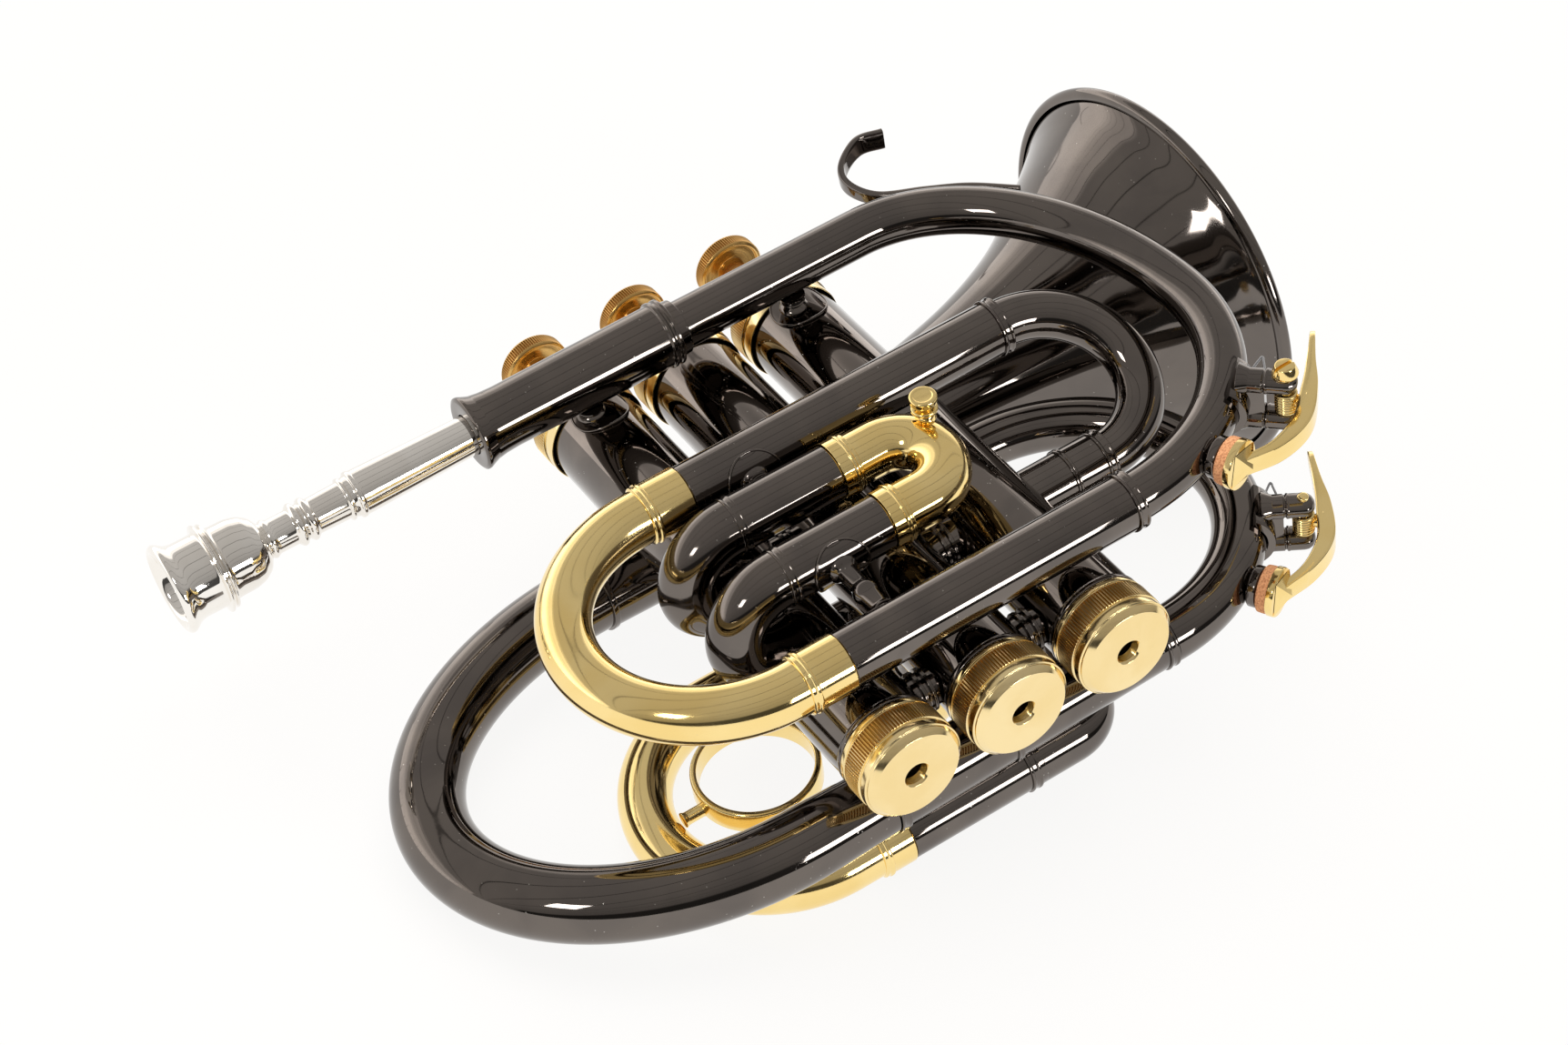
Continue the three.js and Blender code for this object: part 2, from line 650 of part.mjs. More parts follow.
const tuningGap = tuning.upperHeight - tuning.lowerHeight;
add('tuning_slide', slideSolid({
  start: tuningEnd(tuning.jointX, tuning.lowerHeight),
  across: point(0, 0, tuningGap),
  direction: forward.clone().negate(),
  legLength: tuning.legLength,
  ferruleLength: tuning.ferruleLength,
  ferruleRadius: tuning.ferruleRadius,
  bowRadius: tuning.bowRadius,
}), brass);

// The small bow from the upper tuning tube, and its knuckle into the third casing
const entryTop = point(tuning.upperFront, nearPlane, tuning.upperHeight);
const entryLow = point(entry.sleeveFront, entry.plane, entry.height);
const entryCentre = entryTop.clone().lerp(entryLow, 1 / 2);
const entryPath = [
  entryTop.clone().addScaledVector(forward, -slideTube.socketDepth),
  ...ellipsePoints(
    entryCentre,
    entryTop.clone().sub(entryCentre),
    point(entry.reach, 0, 0),
    Math.PI,
    2 * steps.smallBow,
  ),
  entryLow.clone().addScaledVector(forward, -slideTube.socketDepth),
];
add('entry_bow', sweep(tapered(entryPath, entry.radius, entry.radius), sides.bow), blackNickel);

const knuckleProfile = [
  [0, 0],
  [entry.sleeveRadius, 0],
  [entry.sleeveRadius, entry.sleeveRear],
  [entry.sleeveRadius + ring.rise, entry.sleeveRear],
  [entry.sleeveRadius + ring.rise, entry.sleeveRear + ring.width],
  [entry.sleeveRadius, entry.sleeveRear + ring.width],
  [entry.sleeveRadius, entry.sleeveFront],
  [entry.radius + clearance, entry.sleeveFront],
  [entry.radius + clearance, entry.sleeveFront - slideTube.socketDepth - clearance],
  [0, entry.sleeveFront - slideTube.socketDepth - clearance],
].map(([radius, x]) => [radius, Math.max(x, valvePitch)]);
const knuckle = toSolid(placed(turned(knuckleProfile), point(0, entry.plane, entry.height), forward));
add('entry_knuckle', knuckle.subtract(casingRooms[2]), blackNickel);

// First slide: each outer tube bends round to the first casing's rear side
function firstOuter(height) {
  const s = firstSlide;
  const elbowCentre = point(s.elbowX, nearPlane + s.elbowRadius, height);
  const elbow = ellipsePoints(
    elbowCentre,
    point(0, -s.elbowRadius, 0),
    point(-s.elbowRadius, 0, 0),
    Math.PI / 2,
    steps.elbow,
  );
  const turnCentre = point(s.elbowX - s.elbowRadius + s.turnRadius, elbowCentre.y, height);
  const turn = ellipsePoints(
    turnCentre,
    point(-s.turnRadius, 0, 0),
    point(0, s.turnRadius, 0),
    radians(s.turnAngle),
    steps.elbow,
  );
  const end = turn[turn.length - 1];
  const heading = point(Math.sin(radians(s.turnAngle)), Math.cos(radians(s.turnAngle)), 0);
  const path = [point(s.jointX, nearPlane, height), ...elbow, ...turn.slice(1), end.clone().addScaledVector(heading, s.runIn)];
  const bore = rod(
    slideBore,
    point(s.jointX + overrun, nearPlane, height),
    point(s.jointX - s.legLength - clearance, nearPlane, height),
  );
  return sweep(tapered(path, slideTube.outerRadius, slideTube.outerRadius), sides.tube, up)
    .subtract(bore)
    .subtract(casingRooms[0]);
}
add('first_slide_tube_upper', firstOuter(firstSlide.upperHeight), blackNickel);
add('first_slide_tube_lower', firstOuter(firstSlide.lowerHeight), blackNickel);
const firstGap = firstSlide.upperHeight - firstSlide.lowerHeight;
const firstSlideSolid = slideSolid({
  start: point(firstSlide.jointX, nearPlane, firstSlide.lowerHeight),
  across: point(0, 0, firstGap),
  direction: forward,
  legLength: firstSlide.legLength,
  ferruleLength: firstSlide.ferruleLength,
  ferruleRadius: firstSlide.ferruleRadius,
  bowRadius: firstSlide.bowRadius,
});
add('first_slide', firstSlideSolid, brass);

// The pull knob stands on the near side of the first slide's bow
function knobSolid() {
  const k = knob;
  const discs = 2 * k.discThickness + k.waistLength;
  const seat = firstSlide.bowRadius + clearance + k.waistLength / 2;
  const base = point(k.x, nearPlane, k.height);
  const profile = [
    [0, 0],
    [k.baseRadius, 0],
    [k.baseRadius, seat],
    [k.discRadius, seat],
    [k.discRadius, seat + k.discThickness],
    [k.waistRadius, seat + k.discThickness],
    [k.waistRadius, seat + k.discThickness + k.waistLength],
    [k.discRadius, seat + k.discThickness + k.waistLength],
    [k.discRadius, seat + discs],
    [0, seat + discs],
  ];
  const room = sweep(roomAround(firstBowPath(), firstSlide.bowRadius), sides.tube);
  return toSolid(placed(turned(profile, sides.bow), base, point(0, -1, 0))).subtract(room);
}
function firstBowPath() {
  return ellipsePoints(
    point(firstSlide.jointX + firstSlide.ferruleLength + ring.width, nearPlane, firstSlide.lowerHeight + firstGap / 2),
    point(0, 0, -firstGap / 2),
    point(firstGap / 2, 0, 0),
    Math.PI,
    2 * steps.smallBow,
  );
}
function roomAround(path, radius) {
  return path.map((at) => ({ at, radius: radius + clearance }));
}
add('first_slide_knob', knobSolid(), brass);

// Rooms that the braces leave to the tubes they are soldered to
const straightRoom = (x0, x1, height, radius, plane = nearPlane) => rod(
  radius + clearance,
  point(x0, plane, height),
  point(x1, plane, height),
);
const receiverRoom = straightRoom(receiver.mouth, receiverFront, leadpipe.height, receiver.frontRadius);
const leadRoom = straightRoom(receiverFront, leadpipe.bendStart, leadpipe.height, leadpipe.startRadius);
const slideRoom = (height) => straightRoom(firstSlide.elbowX, firstSlide.jointX, height, slideTube.outerRadius);

// A post from one tube to another, with a thin round saddle wrapped on the first
function braceSolid(from, to, carrier, other, carrierAxisPoint, carrierAxis, carrierRadius) {
  const post = rod(brace.postRadius, from, to);
  const disc = rod(brace.flangeRadius, from, to);
  const reach = carrierAxis.clone().setLength(brace.flangeRadius + overrun);
  const wrap = rod(
    carrierRadius + clearance + brace.flangeThickness,
    carrierAxisPoint.clone().sub(reach),
    carrierAxisPoint.clone().add(reach),
    sides.casing,
  );
  return post.add(disc.intersect(wrap)).subtract(carrier).subtract(other);
}

const receiverBraceTop = point(braceX.receiver, 0, braceHeight);
add('receiver_brace', braceSolid(
  receiverBraceTop,
  point(braceX.receiver, nearPlane, braceHeight),
  casingRooms[0].add(capRooms[0]),
  receiverRoom,
  point(valveX[0], 0, braceHeight),
  up,
  casing.radius,
), blackNickel);
add('leadpipe_brace', braceSolid(
  point(braceX.leadpipe, 0, braceHeight),
  point(braceX.leadpipe, nearPlane, braceHeight),
  casingRooms[2].add(capRooms[2]),
  leadRoom,
  point(valveX[2], 0, braceHeight),
  up,
  casing.radius,
), blackNickel);
add('tuning_brace_upper', braceSolid(
  point(braceX.slides, nearPlane, firstSlide.upperHeight),
  point(braceX.slides, nearPlane, tuning.upperHeight),
  slideRoom(firstSlide.upperHeight),
  slideRoom(tuning.upperHeight),
  point(braceX.slides, nearPlane, firstSlide.upperHeight),
  forward,
  slideTube.outerRadius,
), blackNickel);
add('tuning_brace_lower', braceSolid(
  point(braceX.slides, nearPlane, tuning.lowerHeight),
  point(braceX.slides, nearPlane, firstSlide.lowerHeight),
  slideRoom(tuning.lowerHeight),
  slideRoom(firstSlide.lowerHeight),
  point(braceX.slides, nearPlane, tuning.lowerHeight),
  forward,
  slideTube.outerRadius,
), blackNickel);

// Finger hook: a strap that lies along the top of the front bow and curls back over itself. Its
// rises are measured from the leadpipe's axis.
function hookSolid() {
  const h = hook;
  const lift = leadpipe.startRadius + clearance + h.thickness / 2;
  const { centre, rise } = leadBow.top;
  const run = leadpipe.reach - leadpipe.bendStart;
  const onBow = (x) => {
    const angle = Math.asin((x - centre.x) / run);
    const out = point(Math.sin(angle) / run, 0, Math.cos(angle) / rise).normalize();
    return point(x, nearPlane, centre.z + rise * Math.cos(angle)).addScaledVector(out, lift);
  };
  const curve = new THREE.CatmullRomCurve3([
    onBow(h.footFront),
    onBow((h.footFront + h.footRear) / 2),
    onBow(h.footRear),
    point(h.leaveX, nearPlane, leadpipe.height + h.leaveRise),
    point(h.loopX, nearPlane, leadpipe.height + h.loopRise),
    point(h.loopTopX, nearPlane, leadpipe.height + h.loopTopRise),
    point(h.topX, nearPlane, leadpipe.height + h.topRise),
    point(h.tipX, nearPlane, leadpipe.height + h.tipRise),
  ]);
  const count = steps.hook;
  return strip(Array.from({ length: count + 1 }, (_, i) => {
    const tangent = curve.getTangentAt(i / count);
    return { at: curve.getPointAt(i / count), out: tangent.clone().cross(left), width: h.width };
  }), h.thickness);
}
add('finger_hook', hookSolid(), blackNickel);

// Bell, turned about its own axis from the tail to the rolled rim
const bellTail = point(bell.tailX, bell.tailY, bell.tailZ);
const bellRim = point(bell.rimX, bell.rimY, bell.rimZ);
const bellAxis = bellRim.clone().sub(bellTail);
const bellLength = bellAxis.length();

function bellSolid() {
  const lipRadius = bell.rimRadius - bell.beadRadius;
  const outer = [
    [bell.tailRadius, 0],
    ...flareShares.toReversed().map(([along, wide]) => [bell.rimRadius * wide, bellLength * (1 - along)]),
  ];
  const inner = outer.filter((_, i) => i % 2 === 0)
    .map(([radius, height]) => [radius - bell.wall, height]).reverse();
  const bead = [-1 / 2, 0, 1 / 2, 1, 3 / 2].map((quarter) => [
    lipRadius + bell.beadRadius * Math.cos((quarter * Math.PI) / 2),
    bellLength + bell.beadRadius * Math.sin((quarter * Math.PI) / 2),
  ]);
  return toSolid(placed(turnedRing([...outer, ...bead, ...inner], sides.bell), bellTail, bellAxis));
}
add('bell', bellSolid(), blackNickel);

// The bell narrows from its rim, so what is soldered to its tail half clears a plain cone
const bellRadiusAt = (x) => {
  const distance = (bell.rimX - x) / (bell.rimX - bell.tailX);
  const table = [...flareShares, [1, bell.tailRadius / bell.rimRadius]];
  const after = table.findIndex(([along]) => along >= distance);
  const [low, high] = [table[after - 1], table[after]];
  const share = (distance - low[0]) / (high[0] - low[0]);
  return bell.rimRadius * THREE.MathUtils.lerp(low[1], high[1], share);
};
const bellCentreAt = (x) => bellTail.clone().lerp(bellRim, (x - bell.tailX) / (bell.rimX - bell.tailX));
const bellRoom = (x, half) => {
  const [rear, front] = [x - half, x + half];
  const wide = (place) => bellRadiusAt(place) + clearance;
  const length = bellCentreAt(rear).distanceTo(bellCentreAt(front));
  const cone = turned([[0, 0], [wide(rear), 0], [wide(front), length], [0, length]], sides.bell);
  return toSolid(placed(cone, bellCentreAt(rear), bellAxis));
};
add('bell_brace', braceSolid(
  point(bellBrace.x, 0, bellBrace.height),
  point(bellBrace.x, bellCentreAt(bellBrace.x).y, bellBrace.height),
  casingRooms[1],
  bellRoom(bellBrace.x, brace.flangeRadius + overrun),
  point(bellBrace.x, 0, bellBrace.height),
  up,
  casing.radius,
), blackNickel);

// Tail bow: from inside the bell's tail round to the lower run, with a spigot at each end
function tailBowSolid() {
  const t = tail;
  const spigotRadius = bell.tailRadius - bell.wall - clearance;
  const backwards = bellAxis.clone().negate().normalize();
  const start = bellTail.clone().addScaledVector(backwards, clearance);
  const inside = bellTail.clone().addScaledVector(backwards, -slideTube.socketDepth);
  const bend = (centreHeight, from, to, startAngle) => ellipsePoints(
    point(bell.tailX, 0, centreHeight), from, to, Math.PI / 2, steps.bow,
  ).map((at, i) => {
    at.y = THREE.MathUtils.lerp(bell.tailY, farPlane, (startAngle + i / steps.bow) / 2);
    return at;
  });
  const upper = bend(t.reachHeight, point(0, 0, bell.tailZ - t.reachHeight), point(t.reachX - bell.tailX, 0, 0), 0);
  const lower = bend(t.reachHeight, point(t.reachX - bell.tailX, 0, 0), point(0, 0, t.lowHeight - t.reachHeight), 1);
  const end = point(t.endX - clearance, farPlane, t.lowHeight);
  const round = tapered([...upper.slice(1), ...lower.slice(1)], t.bowRadius, t.lowRadius);
  return sweep([
    { at: inside, radius: spigotRadius },
    { at: start, radius: spigotRadius },
    { at: start, radius: bell.tailRadius },
    { at: start.clone().addScaledVector(backwards, ring.width), radius: bell.tailRadius },
    ...round,
    { at: end, radius: t.endRadius },
    { at: end, radius: slideTube.innerRadius },
    { at: end.clone().addScaledVector(forward, slideTube.socketDepth), radius: slideTube.innerRadius },
  ], sides.bow);
}
add('tail_bow', tailBowSolid(), blackNickel);

// Lower run under the valves, with a socket at each end
function lowerRunSolid() {
  const at = (x) => point(x, farPlane, tail.lowHeight);
  const share = (lowerRun.ringX - tail.endX) / (lowerRun.frontX - tail.endX);
  const ringRadius = THREE.MathUtils.lerp(tail.endRadius, lowerRun.frontRadius, share);
  const ringFront = lowerRun.ringX + ring.width;
  const body = sweep([
    { at: at(tail.endX), radius: tail.endRadius + ring.rise },
    { at: at(tail.endX + ring.width), radius: tail.endRadius + ring.rise },
    { at: at(tail.endX + ring.width), radius: tail.endRadius },
    { at: at(lowerRun.ringX), radius: ringRadius },
    { at: at(lowerRun.ringX), radius: ringRadius + ring.rise },
    { at: at(ringFront), radius: ringRadius + ring.rise },
    { at: at(ringFront), radius: ringRadius },
    { at: at(lowerRun.frontX - ring.width), radius: lowerRun.frontRadius },
    { at: at(lowerRun.frontX - ring.width), radius: lowerRun.frontRadius + ring.rise },
    { at: at(lowerRun.frontX), radius: lowerRun.frontRadius + ring.rise },
  ], sides.bow);
  const rear = rod(slideBore, at(tail.endX - overrun), at(tail.endX + slideTube.socketDepth + clearance));
  const front = rod(slideBore, at(lowerRun.frontX + overrun), at(lowerRun.frontX - slideTube.socketDepth - clearance));
  return body.subtract(rear).subtract(front);
}
add('lower_run', lowerRunSolid(), blackNickel);

// Front bow, in line with the lower run and the return tube
const frontCentreHeight = (tail.lowHeight + frontBow.returnHeight) / 2;
const frontDrop = frontCentreHeight - tail.lowHeight;
const frontStart = lowerRun.frontX + clearance;
const frontCentre = point(frontStart + ring.width, farPlane, frontCentreHeight);
const frontPath = ellipsePoints(
  frontCentre,
  point(0, 0, -frontDrop),
  point(frontBow.reach, 0, 0),
  Math.PI,
  2 * steps.bow,
);
const frontBowSolid = () => {
  const end = (height, radius) => [frontStart - slideTube.socketDepth, frontStart, frontStart].map((x, i) => ({
    at: point(x, farPlane, height),
    radius: i < 2 ? slideTube.innerRadius : radius,
  }));
  return sweep([
    ...end(tail.lowHeight, lowerRun.frontRadius),
    ...tapered(frontPath, lowerRun.frontRadius, frontBow.endRadius),
    ...end(frontBow.returnHeight, frontBow.endRadius).reverse(),
  ], sides.bow);
};

// Return tube, behind the casings and into the first one
function returnTubeSolid() {
  const height = frontBow.returnHeight;
  const turnX = valveX[0] + returnTube.bendRadius;
  const bend = ellipsePoints(
    point(turnX, farPlane - returnTube.bendRadius, height),
    point(0, returnTube.bendRadius, 0),
    point(-returnTube.bendRadius, 0, 0),
    Math.PI / 2,
    steps.elbow,
  );
  const front = point(lowerRun.frontX, farPlane, height);
  const path = [front, ...bend, point(valveX[0], casing.bore, height)];
  const bore = rod(
    slideBore,
    front.clone().addScaledVector(forward, overrun),
    front.clone().addScaledVector(forward, -slideTube.socketDepth - clearance),
  );
  return sweep(tapered(path, slideTube.outerRadius, returnTube.radius), sides.tube, up)
    .subtract(bore)
    .subtract(casingRooms[0]);
}
add('return_tube', returnTubeSolid(), blackNickel);

// Second slide, short, straight out of the second casing on its left
function secondOuter(height) {
  const s = secondSlide;
  return outerTube(point(0, casing.bore, height), point(0, s.jointY, height), 1).subtract(casingRooms[1]);
}
add('second_slide_tube_upper', secondOuter(secondSlide.upperHeight), blackNickel);
add('second_slide_tube_lower', secondOuter(secondSlide.lowerHeight), blackNickel);
add('second_slide', slideSolid({
  start: point(0, secondSlide.jointY, secondSlide.lowerHeight),
  across: point(0, 0, secondSlide.upperHeight - secondSlide.lowerHeight),
  direction: left,
  legLength: secondSlide.legLength,
  ferruleLength: secondSlide.ferruleLength,
  ferruleRadius: secondSlide.ferruleRadius,
  bowRadius: secondSlide.bowRadius,
}), brass);

// Third slide, in the plane beyond the tail of the bell
const thirdPlane = farPlane + tail.bowRadius + thirdSlide.gap + slideTube.outerRadius;
const thirdBore = (height) => rod(
  slideBore,
  point(thirdSlide.jointX - overrun, thirdPlane, height),
  point(thirdSlide.jointX + thirdSlide.legLength + clearance, thirdPlane, height),
);
function thirdOuter(path) {
  return sweep(tapered(path, slideTube.outerRadius, slideTube.outerRadius), sides.tube, left);
}
function thirdUpper() {
  const s = thirdSlide;
  const height = s.upperHeight;
  const bend = ellipsePoints(
    point(s.upperEntryX - s.elbowRadius, thirdPlane - s.elbowRadius, height),
    point(0, s.elbowRadius, 0),
    point(s.elbowRadius, 0, 0),
    Math.PI / 2,
    steps.elbow,
  );
  const path = [point(s.jointX, thirdPlane, height), ...bend, point(s.upperEntryX, 0, height)];
  return thirdOuter(path).subtract(thirdBore(height)).subtract(casingRooms[2]).subtract(casingRooms[1]);
}
function thirdLower() {
  const s = thirdSlide;
  const height = s.lowerHeight;
  const rise = s.entryHeight - height - s.elbowRadius;
  const first = ellipsePoints(
    point(s.lowerTurnX, thirdPlane, height + s.elbowRadius),
    point(0, 0, -s.elbowRadius),
    point(s.elbowRadius, 0, 0),
    Math.PI / 2,
    steps.elbow,
  );
  const turnX = s.lowerTurnX + s.elbowRadius;
  const second = ellipsePoints(
    point(turnX, thirdPlane - s.elbowRadius, height + rise),
    point(0, s.elbowRadius, 0),
    point(0, 0, s.elbowRadius),
    Math.PI / 2,
    steps.elbow,
  );
  const path = [point(s.jointX, thirdPlane, height), ...first, ...second.slice(1), point(turnX, 0, s.entryHeight)];
  return thirdOuter(path).subtract(thirdBore(height)).subtract(casingRooms[2]);
}
add('third_slide_tube_upper', thirdUpper(), blackNickel);
add('third_slide_tube_lower', thirdLower(), blackNickel);

const thirdGap = thirdSlide.upperHeight - thirdSlide.lowerHeight;
const thirdStraight = thirdSlide.jointX - thirdSlide.bowCentreX - thirdSlide.ferruleLength;
add('third_slide', slideSolid({
  start: point(thirdSlide.jointX, thirdPlane, thirdSlide.lowerHeight),
  across: point(0, 0, thirdGap),
  direction: forward.clone().negate(),
  legLength: thirdSlide.legLength,
  ferruleLength: thirdSlide.ferruleLength,
  ferruleRadius: thirdSlide.ferruleRadius,
  bowRadius: thirdSlide.bowRadius,
  straight: thirdStraight,
}), brass);

// Finger ring inside the third slide's bow, on a foot soldered to the bow
function fingerRingSolid() {
  const r = fingerRing;
  const centre = point(r.x, r.y - r.width / 2, r.height);
  const hoop = toSolid(placed(turnedRing([
    [r.radius - r.wall, 0],
    [r.radius, 0],
    [r.radius, r.width],
    [r.radius - r.wall, r.width],
  ], 2 * sides.bow), centre, left));
  const bow = ellipsePoints(
    point(thirdSlide.bowCentreX, thirdPlane, thirdSlide.lowerHeight + thirdGap / 2),
    point(0, 0, -thirdGap / 2),
    point(-thirdGap / 2, 0, 0),
    Math.PI,
    2 * steps.smallBow,
  );
  const room = sweep(roomAround(bow, thirdSlide.bowRadius));
  const footEnd = thirdSlide.bowCentreX - thirdGap / 2 + thirdSlide.bowRadius / 2;
  const foot = block(
    point(footEnd, r.y + r.width / 2 - r.footThickness, r.height - r.footWidth / 2),
    point(r.x - r.radius + r.wall / 2, r.y + r.width / 2, r.height + r.footWidth / 2),
  );
  return hoop.add(foot.subtract(room));
}
add('finger_ring', fingerRingSolid(), brass);

// Water keys. A place on the bow is given by its angle from the bottom; out points away from
// the bow and along runs forward and up beside it.
function bowPlace(centre, reach, drop, degrees) {
  const angle = radians(degrees);
  const at = centre.clone().add(point(reach * Math.sin(angle), 0, -drop * Math.cos(angle)));
  const out = point(Math.sin(angle) / reach, 0, -Math.cos(angle) / drop).normalize();
  const along = point(-out.z, 0, out.x);
  return { at, out, along };
}

function waterKeySolids(bow, angles) {
  const w = waterKey;
  const seat = bowPlace(bow.centre, bow.reach, bow.drop, angles.hinge);
  const nipple = bowPlace(bow.centre, bow.reach, bow.drop, angles.nipple);
  const hinge = seat.at.clone().addScaledVector(seat.out, w.hingeReach);
  const aside = (place, distance) => place.clone().addScaledVector(left, distance);
  const lugMiddle = w.barrelWidth / 2 + clearance + w.lugWidth / 2;
  const lugFace = lugMiddle + w.lugWidth / 2;

  // Nipple, soldered into the bow
  const nippleTop = nipple.at.clone().addScaledVector(nipple.out, bow.radius + w.nippleHeight);
  const nippleSolid = rod(w.nippleRadius, nipple.at, nippleTop);

  // Saddle: a half sleeve on the bow with two lugs that carry the hinge screw
  const sleeveReach = seat.along.clone().multiplyScalar(w.footHalfWidth);
  const sleeve = rod(bow.radius + clearance + w.footWall, seat.at.clone().sub(sleeveReach), seat.at.clone().add(sleeveReach), sides.bow);
  const half = rod(
    w.footRadius,
    seat.at,
    seat.at.clone().addScaledVector(seat.out, bow.radius + clearance + w.footWall + overrun),
    sides.bow,
  );
  const room = sweep(roomAround(bow.path, bow.radius), sides.bow);
  const pinHole = rod(w.pinRadius + clearance, aside(hinge, -lugFace - overrun), aside(hinge, lugFace + overrun), sides.small);
  const lugs = [-1, 1].map((side) => {
    const eye = rod(
      w.lugRadius,
      aside(hinge, side * lugMiddle - w.lugWidth / 2),
      aside(hinge, side * lugMiddle + w.lugWidth / 2),
      sides.bow,
    );
    const arm = rod(w.lugWidth / 2, aside(seat.at, side * lugMiddle), aside(hinge, side * lugMiddle), sides.small);
    return eye.add(arm);
  });
  const saddle = sleeve.intersect(half).add(lugs[0]).add(lugs[1]).subtract(room).subtract(pinHole);

  // Screw: its slotted head on the right
  const head = rod(w.headRadius, aside(hinge, -lugFace - clearance - w.headThickness), aside(hinge, -lugFace - clearance));
  const shank = rod(w.pinRadius, aside(hinge, -lugFace - clearance - w.headThickness / 2), aside(hinge, lugFace), sides.small);

  // Lever: a bowed plate from the cup, round the outside of the hinge, to the finger tip
  const cupBase = nippleTop.clone().addScaledVector(nipple.out, clearance);
  const corkTop = cupBase.clone().addScaledVector(nipple.out, w.corkThickness);
  const cupInside = corkTop.clone().addScaledVector(nipple.out, clearance);
  const cupTop = cupInside.clone().addScaledVector(nipple.out, w.cupFloor);
  const run = new THREE.CatmullRomCurve3([
    cupTop.clone(),
    ...leverShares.map(([along, out]) => hinge.clone()
      .addScaledVector(seat.along, along * w.leverReach)
      .addScaledVector(seat.out, out * w.leverReach)),
  ]);
  const count = steps.lever;
  const plate = strip(Array.from({ length: count + 1 }, (_, i) => {
    const share = i / count;
    const width = THREE.MathUtils.lerp(w.tipWidth, w.leverWidth, Math.sin(Math.PI * (1 + 3 * share) / 4));
    return { at: run.getPointAt(share), out: run.getTangentAt(share).cross(left), width };
  }), w.leverThickness);
  const barrel = rod(w.barrelRadius, aside(hinge, -w.barrelWidth / 2), aside(hinge, w.barrelWidth / 2));
  const web = rod(
    w.barrelRadius / 2,
    hinge,
    hinge.clone().addScaledVector(seat.out, leverShares[1][1] * w.leverReach),
    sides.small,
  );
  const cupLow = cupTop.clone().addScaledVector(nipple.out, -w.cupDepth);
  const cup = rod(w.cupRadius, cupLow, cupTop)
    .subtract(rod(w.corkRadius + clearance, cupLow.clone().addScaledVector(nipple.out, -overrun), cupInside));
  const bore = rod(w.pinRadius + clearance, aside(hinge, -w.barrelWidth), aside(hinge, w.barrelWidth), sides.small);
  const lever = plate.add(barrel).add(web).add(cup).subtract(bore);
  const pad = rod(w.corkRadius, cupBase, corkTop);
  return { nippleSolid, saddle, screw: head.add(shank), lever, pad };
}

const leadKey = waterKeySolids({
  centre: leadBow.bottom.centre,
  reach: leadpipe.reach - leadpipe.bendEnd,
  drop: leadBow.bottom.drop,
  radius: leadpipe.endRadius,
  path: leadPath,
}, leadKeyAngles);
const frontKey = waterKeySolids({
  centre: frontCentre,
  reach: frontBow.reach,
  drop: frontDrop,
  radius: lowerRun.frontRadius,
  path: frontPath,
}, frontKeyAngles);

add('leadpipe', leadpipeSolid.add(leadKey.nippleSolid), blackNickel);
add('front_bow', frontBowSolid().add(frontKey.nippleSolid), blackNickel);
[leadKey, frontKey].forEach((key, i) => {
  add(`water_key_saddle_${i + 1}`, key.saddle, blackNickel);
  add(`water_key_lever_${i + 1}`, key.lever, brass);
  add(`water_key_cork_${i + 1}`, key.pad, cork);
  add(`water_key_screw_${i + 1}`, key.screw, brass);
});

// On its left side: the y axis turns down, and the bell's rim and the third slide's bow touch
// the floor. The middle of the whole is set over the origin.
const laid = new THREE.Group();
laid.rotation.set(radians(lie.rollDegrees) - Math.PI / 2, 0, radians(lie.tiltDegrees));
laid.add(instrument);
const trumpet = new THREE.Group();
trumpet.add(laid);
trumpet.updateMatrixWorld(true);
const bounds = new THREE.Box3().setFromObject(trumpet, true);
const middle = bounds.getCenter(point(0, 0, 0));
laid.position.set(-middle.x, -middle.y, -bounds.min.z);

export default trumpet;
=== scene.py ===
import json
import math
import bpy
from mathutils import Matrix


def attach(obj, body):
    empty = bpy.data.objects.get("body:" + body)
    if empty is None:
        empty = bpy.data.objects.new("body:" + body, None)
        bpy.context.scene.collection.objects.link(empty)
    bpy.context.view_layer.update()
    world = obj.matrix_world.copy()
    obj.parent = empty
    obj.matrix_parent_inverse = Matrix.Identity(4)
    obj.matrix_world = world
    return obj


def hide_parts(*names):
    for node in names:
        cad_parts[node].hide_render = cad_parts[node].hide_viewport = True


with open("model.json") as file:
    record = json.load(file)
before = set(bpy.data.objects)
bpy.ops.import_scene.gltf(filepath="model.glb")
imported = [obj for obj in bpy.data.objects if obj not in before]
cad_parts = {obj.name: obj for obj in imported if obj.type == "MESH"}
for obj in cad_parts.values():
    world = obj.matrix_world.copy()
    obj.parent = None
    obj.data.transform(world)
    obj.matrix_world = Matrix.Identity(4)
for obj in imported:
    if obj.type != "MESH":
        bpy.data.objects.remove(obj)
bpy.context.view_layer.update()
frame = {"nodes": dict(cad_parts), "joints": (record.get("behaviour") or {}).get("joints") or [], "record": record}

from types import SimpleNamespace as Sizes

import bmesh
import bpy
from mathutils import Matrix, Vector, noise

# The finish of a pocket trumpet: black nickel tubing and bell, brass caps, buttons and slides,
# and a silver mouthpiece. Lengths are millimetres in the instrument's own axes: x runs forward
# from mouthpiece to bell, y to the player's left and z up to the buttons, with the origin on
# the second valve's axis at the flat face of its bottom cap. The last step of each piece lays
# it in the frame, in metres.

MM = 0.001
FULL_TURN = 2 * math.pi
FORWARD = Vector((1, 0, 0))
LEFT = Vector((0, 1, 0))
UP = Vector((0, 0, 1))
NEAR = -20.5
FAR = 20.5
SECTORS = 8

